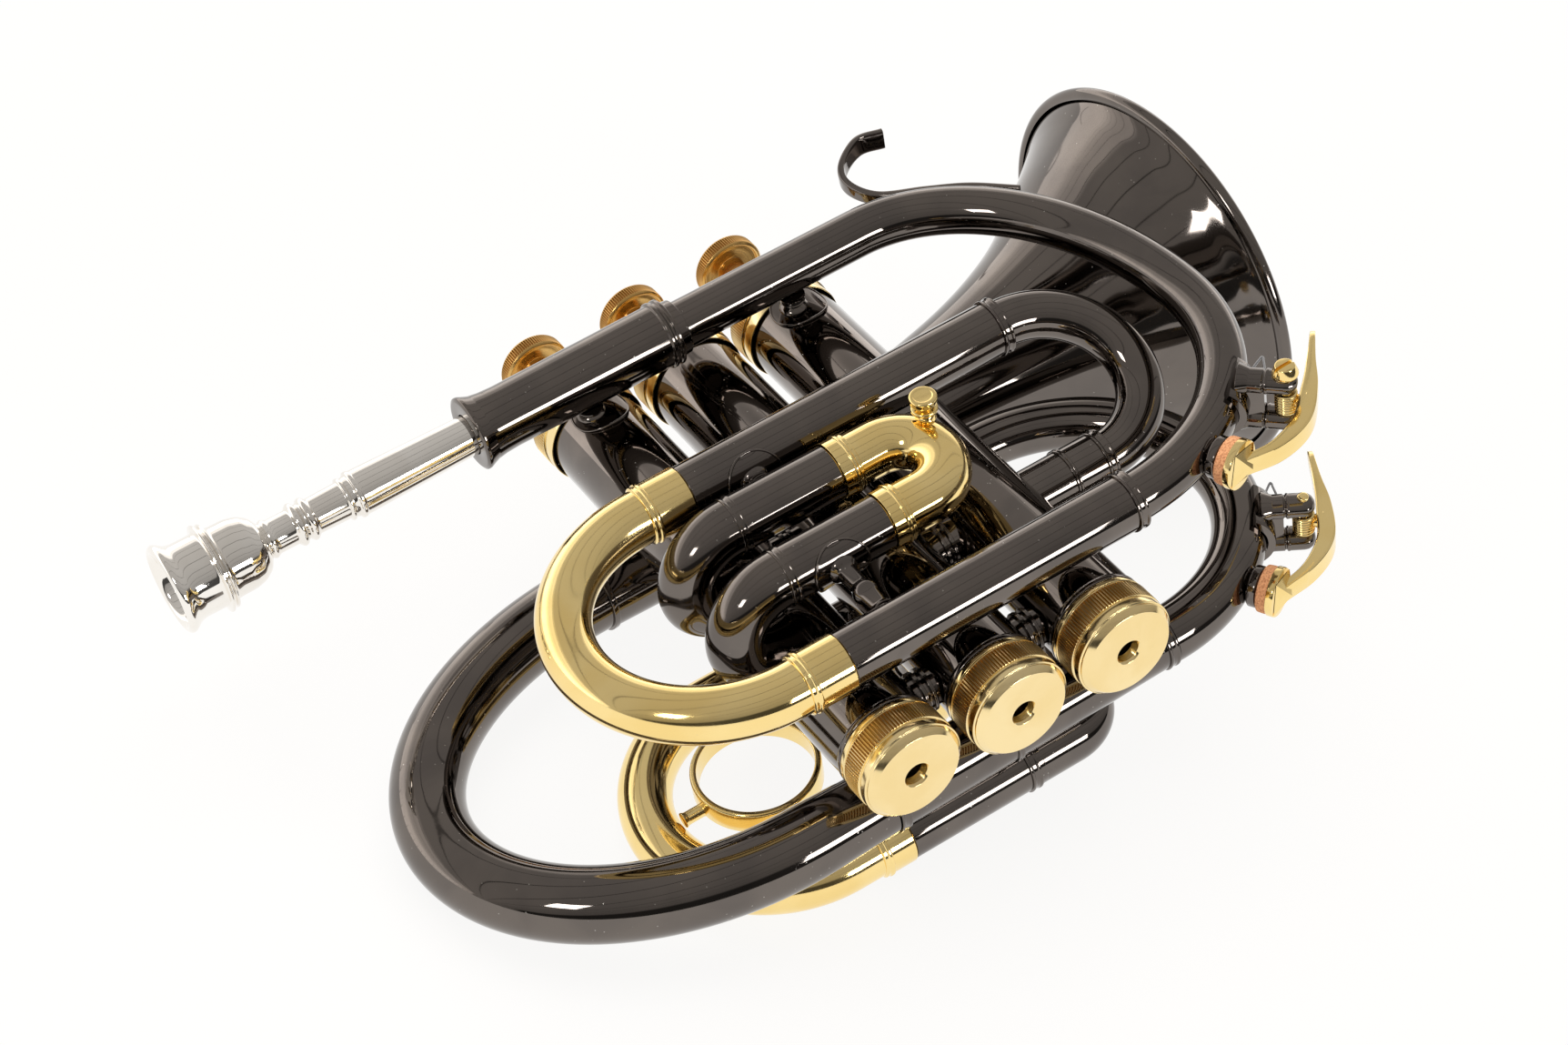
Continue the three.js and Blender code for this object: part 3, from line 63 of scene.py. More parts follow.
# Tubing
GAP = 0.3
SLIDE = Sizes(outer=6.3, inner=5.5, socket=6)
BAND = Sizes(rise=0.42, width=2.5, bead=0.5)
CASING = Sizes(pitch=26.6, radius=11.33, bore=9.4, top=134, bead=0.3)
CROSSOVER = Sizes(radius=6, ring=6.6, heights=(69, 50.5))
STRUT = Sizes(radius=4.2, ring=5, height=18.5)
SEAT_INSET = 0.5

# Valves
BOTTOM_CAP = Sizes(
    face=10.15, chamfer_top=1.25, land=11.3, rim=11.7, groove=11.35, knurl=11.85, knurl_low=3.9,
    knurl_high=9.2, top=10.7, spigot=3.2, wall=1.8, floor=2.6, vent=2.7, teeth=104, tooth=0.42,
)
TOP_CAP = Sizes(
    radius=12.2, shoulder=9.6, low=129.6, knurl_low=133.2, knurl_high=138.2, top=143.6,
    ceiling=134.3, well=140.5, teeth=104, tooth=0.38,
)
PISTON = Sizes(bottom=28, body_top=96, roof=2)
STEM = Sizes(radius=2.3, seat=4)
BUTTON = Sizes(
    radius=8.15, low=156.8, top=161, lip=7.5, dish=1.1, collar=3.4, collar_low=153.6,
    teeth=88, tooth=0.3,
)
SPRING = Sizes(coil=6.1, wire=0.65, turns=9, low=109.45, high=131.35)

# Lead side
LEADPIPE = Sizes(
    height=127.7, start=5.6, end=5.4, start_x=-2.6, bend_start=45, bend_end=42, reach=89.7,
    reach_height=64.5,
)
RECEIVER = Sizes(mouth=-57, radius=7.2, flare=8.7, lip=8.3, front=7.4, socket=10)
MOUTHPIECE = Sizes(protrusion=74, insertion=20)
TUNING = Sizes(
    upper=81, lower=18.7, joint=-29.8, lower_front=42.6, upper_front=52.3, leg=38, ferrule=10.7,
    bow=6.1, ferrule_radius=6.6,
)
ENTRY = Sizes(height=50.5, front=57, rear=46, reach=19.5, radius=5.5, sleeve=6.2)
FIRST = Sizes(
    upper=66.1, lower=46.7, joint=-1.9, straight=5.8, elbow_x=-28, elbow=12, turn=8, turn_angle=60, leg=19.5,
    ferrule=5.1, bow=6.1, ferrule_radius=6.6,
)
KNOB = Sizes(x=20.6, height=62.2)
BRACE = Sizes(post=2.35, flange=6.5, thickness=0.45, edge=0.32)
BRACE_X = Sizes(receiver=-28.7, leadpipe=25.4, slides=-15.5)
BRACE_HEIGHT = 125.5

# Bell side
BELL = Sizes(
    rim=Vector((120.2, 30, 119.6)), tail=Vector((-45, 22.8, 108.1)), rim_radius=49.9,
    tail_radius=8.6, wall=0.9, bead=1.7,
)
FLARE_SHARES = [
    (0.018, 0.932), (0.042, 0.862), (0.072, 0.788), (0.109, 0.707), (0.151, 0.611),
    (0.193, 0.527), (0.241, 0.457), (0.302, 0.391), (0.374, 0.337), (0.483, 0.281),
    (0.603, 0.24), (0.754, 0.204),
]
TAIL = Sizes(reach_x=-108, reach_height=62, low=15, bow=8.4, low_radius=8.2, end_x=-28, end=7.6)
LOWER = Sizes(front=45, radius=6.4, ring_x=2)
FRONT = Sizes(reach=38.2, high=89, end=5.8)
RETURN = Sizes(radius=6.1, bend=9)
SECOND = Sizes(upper=58, lower=40, joint=19.5, leg=6.5, ferrule=6.2, bow=6.1, ferrule_radius=6.6)
THIRD = Sizes(
    upper=74.6, lower=16.8, plane=36.1, joint=-23.8, leg=32, ferrule=8, bow_x=-37.3, bow=6.1,
    ferrule_radius=6.6, entry_x=22, turn_x=20, elbow=9, entry_height=34.8,
)
FINGER_RING = Sizes(radius=14.4, wall=1.5, width=5.6, x=-41.5, height=45.6, y=30)
BELL_BRACE = Sizes(height=110, x=0)
HOOK = Sizes(width=5.2, thickness=1.6, foot_front=76, foot_rear=62)

# The frame of the instrument, from its joints and from where the second bottom cap rests
MOUNT_REACH = 6.2
joint_axis = {j["name"]: Vector(j["axis"]) for j in frame["joints"]}
mount_place = {m["name"]: Vector(m["pos_m"]) for m in frame["record"]["mounts"]}
row_up = -joint_axis["valve_2_press"].normalized()
row_forward = -joint_axis["tuning_slide_pull"].normalized()
row_left = row_up.cross(row_forward).normalized()
row_origin = mount_place["bottom_cap_2_face"] - row_forward * MOUNT_REACH * MM
LAY = Matrix.Translation(row_origin) @ Matrix((row_forward, row_left, row_up)).transposed().to_4x4()
LAY = LAY @ Matrix.Scale(MM, 4)


# Node helpers

def link(tree, source, target):
    tree.links.new(source, target)


def node(tree, kind, **settings):
    made = tree.nodes.new(kind)
    for key, value in settings.items():
        setattr(made, key, value)
    return made


def math_node(tree, operation, first, second=None):
    made = node(tree, "ShaderNodeMath", operation=operation)
    for socket, value in zip(made.inputs, (first, second)):
        if value is None:
            continue
        if isinstance(value, (int, float)):
            socket.default_value = value
        else:
            link(tree, value, socket)
    return made.outputs[0]


def ramp(tree, source, low, high):
    made = node(tree, "ShaderNodeMapRange", interpolation_type="SMOOTHSTEP")
    made.inputs["From Min"].default_value = low
    made.inputs["From Max"].default_value = high
    link(tree, source, made.inputs["Value"])
    return made.outputs["Result"]


def noise_node(tree, vector, scale, detail=4, distortion=0):
    made = node(tree, "ShaderNodeTexNoise")
    made.inputs["Scale"].default_value = scale
    made.inputs["Detail"].default_value = detail
    made.inputs["Distortion"].default_value = distortion
    link(tree, vector, made.inputs["Vector"])
    return made.outputs["Fac"]


def new_group(name, inputs, outputs):
    group = bpy.data.node_groups.new(name, "ShaderNodeTree")
    for label, kind, default in inputs:
        socket = group.interface.new_socket(label, in_out="INPUT", socket_type=kind)
        if default is not None:
            socket.default_value = default
    for label, kind in outputs:
        group.interface.new_socket(label, in_out="OUTPUT", socket_type=kind)
    return group, node(group, "NodeGroupInput"), node(group, "NodeGroupOutput")


def handled_group():
    """What handling leaves on a polished surface: soft smudges, specks of dust, fine hairlines."""
    group, given, gives = new_group(
        "handled surface",
        [("Vector", "NodeSocketVector", None), ("Smudge", "NodeSocketFloat", 1),
         ("Dust", "NodeSocketFloat", 1)],
        [("Roughness", "NodeSocketFloat"), ("Dust", "NodeSocketFloat"), ("Height", "NodeSocketFloat")],
    )
    vector = given.outputs["Vector"]
    cloud = ramp(group, noise_node(group, vector, 38, 5, 0.8), 0.42, 0.72)
    streak = ramp(group, noise_node(group, vector, 210, 3, 1.5), 0.55, 0.75)
    smudge = math_node(group, "MAXIMUM", cloud, math_node(group, "MULTIPLY", streak, 0.4))
    cells = node(group, "ShaderNodeTexVoronoi")
    cells.inputs["Scale"].default_value = 620
    link(group, vector, cells.inputs["Vector"])
    speck = math_node(group, "LESS_THAN", cells.outputs["Distance"], 0.1)
    bar = math_node(group, "SUBTRACT", 0.62, math_node(group, "MULTIPLY", given.outputs["Dust"], 0.12))
    some = math_node(group, "GREATER_THAN", noise_node(group, vector, 260, 2), bar)
    dust = math_node(group, "MULTIPLY", math_node(group, "MULTIPLY", speck, some), given.outputs["Dust"])
    rough = math_node(group, "MULTIPLY", smudge, given.outputs["Smudge"])
    link(group, rough, gives.inputs["Roughness"])
    link(group, dust, gives.inputs["Dust"])
    link(group, noise_node(group, vector, 90, 2), gives.inputs["Height"])
    return group


def turned_group():
    """Fine rings left by a lathe, from a piece's own radius and height about its axis."""
    group, given, gives = new_group(
        "lathe lines",
        [("Turned", "NodeSocketVector", None), ("Fineness", "NodeSocketFloat", 9)],
        [("Lines", "NodeSocketFloat"), ("Height", "NodeSocketFloat"), ("Flute", "NodeSocketFloat")],
    )
    parts = node(group, "ShaderNodeSeparateXYZ")
    link(group, given.outputs["Turned"], parts.inputs[0])
    flat = node(group, "ShaderNodeCombineXYZ")
    link(group, parts.outputs["X"], flat.inputs["X"])
    link(group, parts.outputs["Y"], flat.inputs["Y"])
    # Flute passes on the knurl mask, which the finish uses for painted shade in the grooves and for roughness.
    link(group, parts.outputs["Z"], gives.inputs["Flute"])
    scaled = node(group, "ShaderNodeVectorMath", operation="SCALE")
    link(group, flat.outputs[0], scaled.inputs[0])
    link(group, given.outputs["Fineness"], scaled.inputs["Scale"])
    lines = noise_node(group, scaled.outputs[0], 1, 3)
    link(group, ramp(group, lines, 0.3, 0.7), gives.inputs["Lines"])
    link(group, lines, gives.inputs["Height"])
    return group


HANDLED = handled_group()
TURNED = turned_group()


def metal(name, colour, tone, roughness, smudge, dust=0.0, lathe=0.0, ripple=0.02):
    """A plated or bare metal: its colour shifts a little towards a second tone where it is
    handled, and its lathe lines show as far as lathe says."""
    material = bpy.data.materials.new(name)
    material.use_nodes = True
    tree = material.node_tree
    shader = tree.nodes["Principled BSDF"]
    shader.inputs["Metallic"].default_value = 1
    place = node(tree, "ShaderNodeTexCoord")
    handled = node(tree, "ShaderNodeGroup", node_tree=HANDLED)
    handled.inputs["Smudge"].default_value = smudge
    handled.inputs["Dust"].default_value = dust
    link(tree, place.outputs["Object"], handled.inputs["Vector"])
    turned = node(tree, "ShaderNodeGroup", node_tree=TURNED)
    ring = node(tree, "ShaderNodeAttribute", attribute_name="turned")
    link(tree, ring.outputs["Vector"], turned.inputs["Turned"])

    patch = ramp(tree, noise_node(tree, place.outputs["Object"], 55, 4, 0.5), 0.35, 0.7)
    base = node(tree, "ShaderNodeMix", data_type="RGBA")
    base.inputs["A"].default_value = (*colour, 1)
    base.inputs["B"].default_value = (*tone, 1)
    link(tree, patch, base.inputs["Factor"])
    dusty = node(tree, "ShaderNodeMix", data_type="RGBA")
    dusty.inputs["B"].default_value = (0.55, 0.52, 0.48, 1)
    link(tree, handled.outputs["Dust"], dusty.inputs["Factor"])
    link(tree, base.outputs["Result"], dusty.inputs["A"])
    # Painted shade: knurled bands are mixed towards a darker brown, a little on the ridges and fully in the grooves,
    # standing in for the shade inside the flutes.
    painted_groove_shade = node(tree, "ShaderNodeMix", data_type="RGBA")
    painted_groove_shade.inputs["B"].default_value = (*(c * g for c, g in zip(tone, (0.62, 0.5, 0.36))), 1)
    link(tree, turned.outputs["Flute"], painted_groove_shade.inputs["Factor"])
    link(tree, dusty.outputs["Result"], painted_groove_shade.inputs["A"])
    link(tree, painted_groove_shade.outputs["Result"], shader.inputs["Base Color"])

    lined = math_node(tree, "MULTIPLY", turned.outputs["Lines"], lathe * 0.25)
    rough = math_node(tree, "ADD", handled.outputs["Roughness"], roughness)
    rough = math_node(tree, "ADD", rough, lined)
    rough = math_node(tree, "ADD", rough, math_node(tree, "MULTIPLY", handled.outputs["Dust"], 0.4))
    rough = math_node(tree, "ADD", rough, math_node(tree, "MULTIPLY", turned.outputs["Flute"], 0.3))
    link(tree, rough, shader.inputs["Roughness"])

    wave = node(tree, "ShaderNodeBump")
    wave.inputs["Strength"].default_value = ripple
    wave.inputs["Distance"].default_value = 0.001
    link(tree, handled.outputs["Height"], wave.inputs["Height"])
    rings = node(tree, "ShaderNodeBump")
    rings.inputs["Strength"].default_value = lathe
    rings.inputs["Distance"].default_value = 0.00003
    link(tree, turned.outputs["Height"], rings.inputs["Height"])
    link(tree, wave.outputs["Normal"], rings.inputs["Normal"])
    link(tree, rings.outputs["Normal"], shader.inputs["Normal"])
    return material


def cork_material():
    material = bpy.data.materials.new("cork")
    material.use_nodes = True
    tree = material.node_tree
    shader = tree.nodes["Principled BSDF"]
    shader.inputs["Roughness"].default_value = 0.85
    place = node(tree, "ShaderNodeTexCoord")
    grain = node(tree, "ShaderNodeTexVoronoi")
    grain.inputs["Scale"].default_value = 1400
    link(tree, place.outputs["Object"], grain.inputs["Vector"])
    shade = ramp(tree, noise_node(tree, place.outputs["Object"], 2200, 5), 0.3, 0.62)
    base = node(tree, "ShaderNodeMix", data_type="RGBA")
    base.inputs["A"].default_value = (0.5, 0.19, 0.08, 1)
    base.inputs["B"].default_value = (0.86, 0.42, 0.2, 1)
    link(tree, shade, base.inputs["Factor"])
    link(tree, base.outputs["Result"], shader.inputs["Base Color"])
    bump = node(tree, "ShaderNodeBump")
    bump.inputs["Strength"].default_value = 0.5
    bump.inputs["Distance"].default_value = 0.0001
    link(tree, grain.outputs["Distance"], bump.inputs["Height"])
    link(tree, bump.outputs["Normal"], shader.inputs["Normal"])
    return material


BLACK = metal("black nickel", (0.17, 0.148, 0.132), (0.14, 0.123, 0.112), 0.045, 0.05, 0.5)
CASING_BLACK = metal("casing black nickel", (0.195, 0.168, 0.15), (0.15, 0.132, 0.12), 0.04, 0.06, 0.9)
BRASS = metal("polished brass", (0.98, 0.76, 0.34), (0.93, 0.69, 0.27), 0.07, 0.1, 0.15)
CAP_BRASS = metal("turned brass", (0.97, 0.78, 0.42), (0.92, 0.71, 0.34), 0.1, 0.06, 0.1, 0.2)
BUTTON_BRASS = metal("button brass", (0.78, 0.5, 0.18), (0.66, 0.39, 0.12), 0.14, 0.12, 0.1, 0.5)
SILVER = metal("silver plate", (0.93, 0.9, 0.85), (0.86, 0.82, 0.76), 0.04, 0.06, 0.1)
MONEL = metal("monel", (0.6, 0.58, 0.54), (0.5, 0.48, 0.45), 0.22, 0.1, 0.0, 0.3)
STEEL = metal("spring steel", (0.42, 0.42, 0.43), (0.34, 0.34, 0.35), 0.3, 0.1)
CORK = cork_material()


# Modelling helpers

def place(base, direction):
    """Stands a shape made about +z on a point, along a direction."""
    turn = UP.rotation_difference(Vector(direction).normalized())
    return Matrix.Translation(base) @ turn.to_matrix().to_4x4()


def eased(profile, radius=0.3, steps=3):
    """A profile whose corners are rounded off."""
    points = [Vector(p) for p in profile]
    rounded = [points[0]]
    for before, corner, after in zip(points, points[1:], points[2:]):
        back = before - corner
        ahead = after - corner
        cut = min(radius, back.length * 0.48, ahead.length * 0.48)
        if cut < 0.01 or back.angle(-ahead, 0) < math.radians(8):
            rounded.append(corner)
            continue
        start = corner + back.normalized() * cut
        end = corner + ahead.normalized() * cut
        for i in range(steps + 1):
            t = i / steps
            rounded.append(start * (1 - t) ** 2 + corner * 2 * t * (1 - t) + end * t ** 2)
    return rounded + [points[-1]]


def revolve(bm, profile, stand, turns=96, closed=False):
    """Turns a profile of (radius, height) points about the stand's +z, and returns its points."""
    layer = bm.verts.layers.float_vector.get("turned") or bm.verts.layers.float_vector.new("turned")
    seed = [bm.verts.new(stand @ Vector((point[0], 0, point[1]))) for point in profile]
    pairs = list(zip(seed, seed[1:])) + ([(seed[-1], seed[0])] if closed else [])
    edges = [bm.edges.new(pair) for pair in pairs]
    before = set(bm.verts) - set(seed)
    share = FULL_TURN / SECTORS
    axis = (stand.to_3x3() @ UP).normalized()
    bmesh.ops.spin(
        bm, geom=seed + edges, cent=stand.translation, axis=axis, angle=share, steps=turns // SECTORS,
        use_merge=False, use_duplicate=False,
    )
    made = [v for v in bm.verts if v not in before]
    while share < FULL_TURN * 0.9:
        faces = list({f for v in made for f in v.link_faces})
        copied = bmesh.ops.duplicate(bm, geom=faces)["geom"]
        copies = [g for g in copied if isinstance(g, bmesh.types.BMVert)]
        bmesh.ops.rotate(bm, cent=stand.translation, matrix=Matrix.Rotation(share, 3, axis), verts=copies)
        made += copies
        share *= 2
    away = stand.inverted()
    for vert in made:
        local = away @ vert.co
        vert[layer] = (local.xy.length, local.z, 0)
    return made


def ring_revolve(bm, profile, stand, turns=96, radius=0.3):
    """A turned ring: the profile closes on itself and its corners are eased."""
    looped = [profile[-1], *profile, profile[0]]
    outline = eased(looped, radius)[1:-1]
    return revolve(bm, outline, stand, turns, closed=True)


def knurl(bm, verts, stand, low, high, inside, teeth, depth):
    """Cuts straight flutes in the band of a turned piece between two heights."""
    layer = bm.verts.layers.float_vector.get("turned")
    away = stand.inverted()
    for vert in verts:
        local = away @ vert.co
        if low < local.z < high and local.xy.length > inside:
            column = round(math.atan2(local.y, local.x) / FULL_TURN * teeth * 4)
            # The third value of turned marks the knurled band (0.35) and its grooves (1); the finish paints shade and
            # adds roughness there from it.
            vert[layer] = (local.xy.length, local.z, 0.35)
            if column % 4 > 1:
                vert[layer] = (local.xy.length, local.z, 1)
                local.xy -= local.xy.normalized() * depth
                vert.co = stand @ local


def frames_along(points, side):
    """Square frames along a path, each turned as little as the path allows."""
    frames = []
    normal = Vector(side)
    for i, point in enumerate(points):
        ahead = points[min(i + 1, len(points) - 1)] - points[max(i - 1, 0)]
        tangent = ahead.normalized()
        normal = (normal - tangent * normal.dot(tangent)).normalized()
        across = tangent.cross(normal)
        turn = Matrix((normal, across, tangent)).transposed().to_4x4()
        frames.append(Matrix.Translation(point) @ turn)
    return frames


def sweep(bm, points, radii, side=LEFT, around=48, section=None, seat=None):
    """Draws a ring along a path. Each radius is one number, or a half width and a half height.
    A seat (point, direction, radius) is a round body that the last end is fitted to."""
    stations = frames_along(points, side)
    sizes = [(r, r) if isinstance(r, (int, float)) else r for r in radii]
    scaled = [f @ Matrix.Diagonal((u, v, 1, 1)) for f, (u, v) in zip(stations, sizes)]
    outline = section or [
        (math.cos(FULL_TURN * i / around), math.sin(FULL_TURN * i / around)) for i in range(around)
    ]
    ring = [bm.verts.new(scaled[0] @ Vector((u, v, 0))) for u, v in outline]
    edges = [bm.edges.new((ring[i - 1], ring[i])) for i in range(len(ring))]
    bmesh.ops.edgeloop_fill(bm, edges=edges)
    for before, after in zip(scaled, scaled[1:]):
        edges, ring = extend(bm, edges, after @ before.inverted())
    if seat:
        heading = (points[-1] - points[-2]).normalized()
        fit_to_round(ring, heading, seat)
        wall = scaled[-1] @ Matrix.Diagonal((0.88, 0.88, 1, 1)) @ scaled[-1].inverted()
        edges, ring = extend(bm, edges, wall)
        fit_to_round(ring, heading, seat)
        centre = points[-1] - heading * 3
        edges, ring = extend(bm, edges, Matrix.Identity(4))
        for vert in ring:
            vert.co -= heading * (vert.co - centre).dot(heading)
    bmesh.ops.edgeloop_fill(bm, edges=edges)


def extend(bm, edges, move):
    """Pulls a ring of edges on by one step and returns the new ring."""
    made = bmesh.ops.extrude_edge_only(bm, edges=edges)["geom"]
    ring = [g for g in made if isinstance(g, bmesh.types.BMVert)]
    fresh = set(ring)
    bmesh.ops.transform(bm, matrix=move, verts=ring)
    return [g for g in made if isinstance(g, bmesh.types.BMEdge) and set(g.verts) <= fresh], ring


def fit_to_round(ring, heading, seat):
    """Slides each point of a ring along its heading on to a round body."""
    base, axis, radius = seat
    flat = heading - axis * heading.dot(axis)
    for vert in ring:
        off = vert.co - base
        off -= axis * off.dot(axis)
        a = flat.length_squared
        b = 2 * off.dot(flat)
        c = off.length_squared - radius ** 2
        root = max(b * b - 4 * a * c, 0)
        vert.co += heading * ((-b - math.sqrt(root)) / (2 * a))


def bend(centre, first, second, turn=math.pi / 2, count=24):
    """Points along part of an ellipse, from its first half axis towards its second."""
    return [
        centre + first * math.cos(turn * i / count) + second * math.sin(turn * i / count)
        for i in range(count + 1)
    ]


def smooth_run(points, count=10):
    """Points on a smooth curve through the given ones."""
    spread = [points[0] * 2 - points[1], *points, points[-1] * 2 - points[-2]]
    run = []
    for a, b, c, d in zip(spread, spread[1:], spread[2:], spread[3:]):
        for i in range(count):
            t = i / count
            run.append(0.5 * (
                2 * b + (c - a) * t + (2 * a - 5 * b + 4 * c - d) * t ** 2
                + (3 * b - a - 3 * c + d) * t ** 3
            ))
    return run + [points[-1]]


def even_radii(points, start, end):
    """A radius for each point, that changes evenly along the path."""
    along = [0]
    for before, after in zip(points, points[1:]):
        along.append(along[-1] + (after - before).length)
    return [start + (end - start) * a / along[-1] for a in along]


def at(x, y, z):
    return Vector((x, y, z))


def finish(bm, name, body, material, stands_for=(), sharp=38):
    """Lays a finished piece in the frame, under its own name and on its own body."""
    bmesh.ops.remove_doubles(bm, verts=bm.verts, dist=0.002)
    bmesh.ops.recalc_face_normals(bm, faces=bm.faces)
    limit = math.radians(sharp)
    for face in bm.faces:
        face.smooth = True
    for edge in bm.edges:
        edge.smooth = len(edge.link_faces) != 2 or edge.calc_face_angle(0) < limit
    bmesh.ops.transform(bm, matrix=LAY, verts=bm.verts)
    mesh = bpy.data.meshes.new(name)
    bm.to_mesh(mesh)
    bm.free()
    mesh.materials.append(material)
    piece = bpy.data.objects.new(name, mesh)
    bpy.context.scene.collection.objects.link(piece)
    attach(piece, body)
    if stands_for:
        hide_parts(*stands_for)
    return piece


def black(bm, name, stands_for=(), material=None):
    return finish(bm, name, "horn", material or BLACK, stands_for)


def brass(bm, name, body, stands_for=(), material=None):
    return finish(bm, name, body, material or BRASS, stands_for)


# Tube details

def band(bm, base, direction, radius, width=BAND.width, rise=BAND.rise):
    """A soldered band with a fine bead at each edge, seen wherever two tubes meet."""
    bead = BAND.bead
    profile = [
        (radius - 0.3, 0), (radius + rise, 0), (radius + rise, bead),
        (radius + rise * 0.45, bead * 1.5), (radius + rise * 0.45, width - bead * 1.5),
        (radius + rise, width - bead), (radius + rise, width), (radius - 0.3, width),
    ]
    ring_revolve(bm, profile, place(base, direction), 96, 0.16)


def outer_tube(bm, start, end, bands=1):
    """A straight outer slide tube, open along its bore."""
    length = (end - start).length
    bore = SLIDE.inner + GAP
    profile = [(bore, 0), (SLIDE.outer, 0), (SLIDE.outer, length), (bore, length)]
    ring_revolve(bm, profile, place(start, end - start), 96, 0.2)
    if bands:
        heading = (end - start).normalized()
        band(bm, end - heading * BAND.width, heading, SLIDE.outer)


def slide(bm, start, across, direction, leg, ferrule, ferrule_radius, bow, straight=1.3, count=40):
    """Two inner tubes joined by a half round bow, with a ferrule at each end of it."""
    outwards = Vector(direction)
    for foot in (start, start + across):
        inner = [(0, -leg), (SLIDE.inner, -leg), (SLIDE.inner, GAP + 0.3), (0, GAP + 0.3)]
        stand = place(foot, outwards)
        revolve(bm, eased(inner, 0.25), stand, 64)
        bead = ferrule - BAND.width * 0.8
        sleeve = [
            (0, GAP), (ferrule_radius, GAP), (ferrule_radius, bead),
            (ferrule_radius + 0.35, bead + 0.15), (ferrule_radius + 0.35, bead + 0.75),
            (ferrule_radius, bead + 0.95), (ferrule_radius, ferrule - 0.7),
            (ferrule_radius + 0.1, ferrule - 0.2), (bow, ferrule + 0.1), (0, ferrule + 0.1),
        ]
        revolve(bm, eased(sleeve, 0.16), stand, 96)
    centre = start + across / 2 + outwards * (ferrule + straight)
    ends = [start + outwards * (ferrule - 1), start + across + outwards * (ferrule - 1)]
    curve = bend(centre, -across / 2, outwards * (across.length / 2), math.pi, count)
    path = [ends[0], *curve, ends[1]]
    sweep(bm, path, [bow] * len(path), outwards.cross(across).normalized(), 64)


def casing_seat(k):
    return (at(CASING.pitch * (k - 1), 0, 0), UP, CASING.radius - SEAT_INSET)


# Valve block

def make_casing(k):
    bm = bmesh.new()
    low = BOTTOM_CAP.top + GAP
    profile = [
        (CASING.bore, low), (CASING.radius + CASING.bead, low),
        (CASING.radius + CASING.bead, low + 1), (CASING.radius, low + 1.4),
        (CASING.radius, CASING.top), (CASING.bore, CASING.top),
    ]
    ring_revolve(bm, profile, place(at(CASING.pitch * (k - 1), 0, 0), UP), 128, 0.3)
    black(bm, f"valve_casing_{k + 1}", [f"casing_{k + 1}"], CASING_BLACK)


def make_bottom_cap(k):
    cap = BOTTOM_CAP
    bm = bmesh.new()
    stand = place(at(CASING.pitch * (k - 1), 0, 0), UP)
    spigot = CASING.bore - GAP
    thread = []
    pitch = 0.42
    count = int((cap.floor - 0.5) / pitch)
    for i in range(count):
        thread += [(cap.vent, cap.floor - i * pitch), (cap.vent - 0.12, cap.floor - (i + 0.5) * pitch)]
    profile = [
        *thread, (cap.vent, 0.45), (cap.vent + 0.35, 0), (cap.face, 0), (cap.land, cap.chamfer_top),
        (cap.land, cap.chamfer_top + 0.35), (cap.rim, cap.chamfer_top + 0.5), (cap.rim, 3.3),
        (cap.groove, 3.5), (cap.groove, cap.knurl_low), (cap.knurl, cap.knurl_low + 0.2),
        (cap.knurl, cap.knurl_high - 0.2), (cap.groove, cap.knurl_high), (cap.groove, cap.knurl_high + 0.3),
        (cap.rim, cap.knurl_high + 0.5), (cap.rim, cap.top), (spigot, cap.top),
        (spigot, cap.top + cap.spigot), (spigot - cap.wall, cap.top + cap.spigot),
        (spigot - cap.wall, cap.floor),
    ]
    made = ring_revolve(bm, profile, stand, cap.teeth * 4, 0.08)
    knurl(bm, made, stand, cap.knurl_low + 0.15, cap.knurl_high - 0.15, cap.knurl - 0.05, cap.teeth, cap.tooth)
    brass(bm, f"bottom_valve_cap_{k + 1}", "horn", [f"bottom_cap_{k + 1}"], CAP_BRASS)


def make_top_cap(k):
    cap = TOP_CAP
    bm = bmesh.new()
    stand = place(at(CASING.pitch * (k - 1), 0, 0), UP)
    bore = STEM.radius + GAP
    well = BUTTON.collar + GAP
    profile = [
        (CASING.radius + GAP, cap.low), (cap.radius - 0.2, cap.low), (cap.radius - 0.2, cap.knurl_low - 0.7),
        (cap.radius - 0.6, cap.knurl_low - 0.5), (cap.radius - 0.6, cap.knurl_low - 0.1),
        (cap.radius, cap.knurl_low), (cap.radius, cap.knurl_high), (cap.radius - 0.6, cap.knurl_high + 0.5),
        (cap.shoulder + 0.8, cap.knurl_high + 1.2), (cap.shoulder, cap.knurl_high + 2.4),
        (cap.shoulder - 0.2, cap.top - 0.8), (cap.shoulder - 1, cap.top), (well, cap.top),
        (well, cap.well), (bore, cap.well), (bore, cap.ceiling), (CASING.radius + GAP, cap.ceiling),
    ]
    made = ring_revolve(bm, profile, stand, cap.teeth * 4, 0.22)
    knurl(bm, made, stand, cap.knurl_low + 0.15, cap.knurl_high - 0.15, cap.radius - 0.05, cap.teeth, cap.tooth)
    brass(bm, f"top_valve_cap_{k + 1}", "horn", [f"top_cap_{k + 1}"], CAP_BRASS)


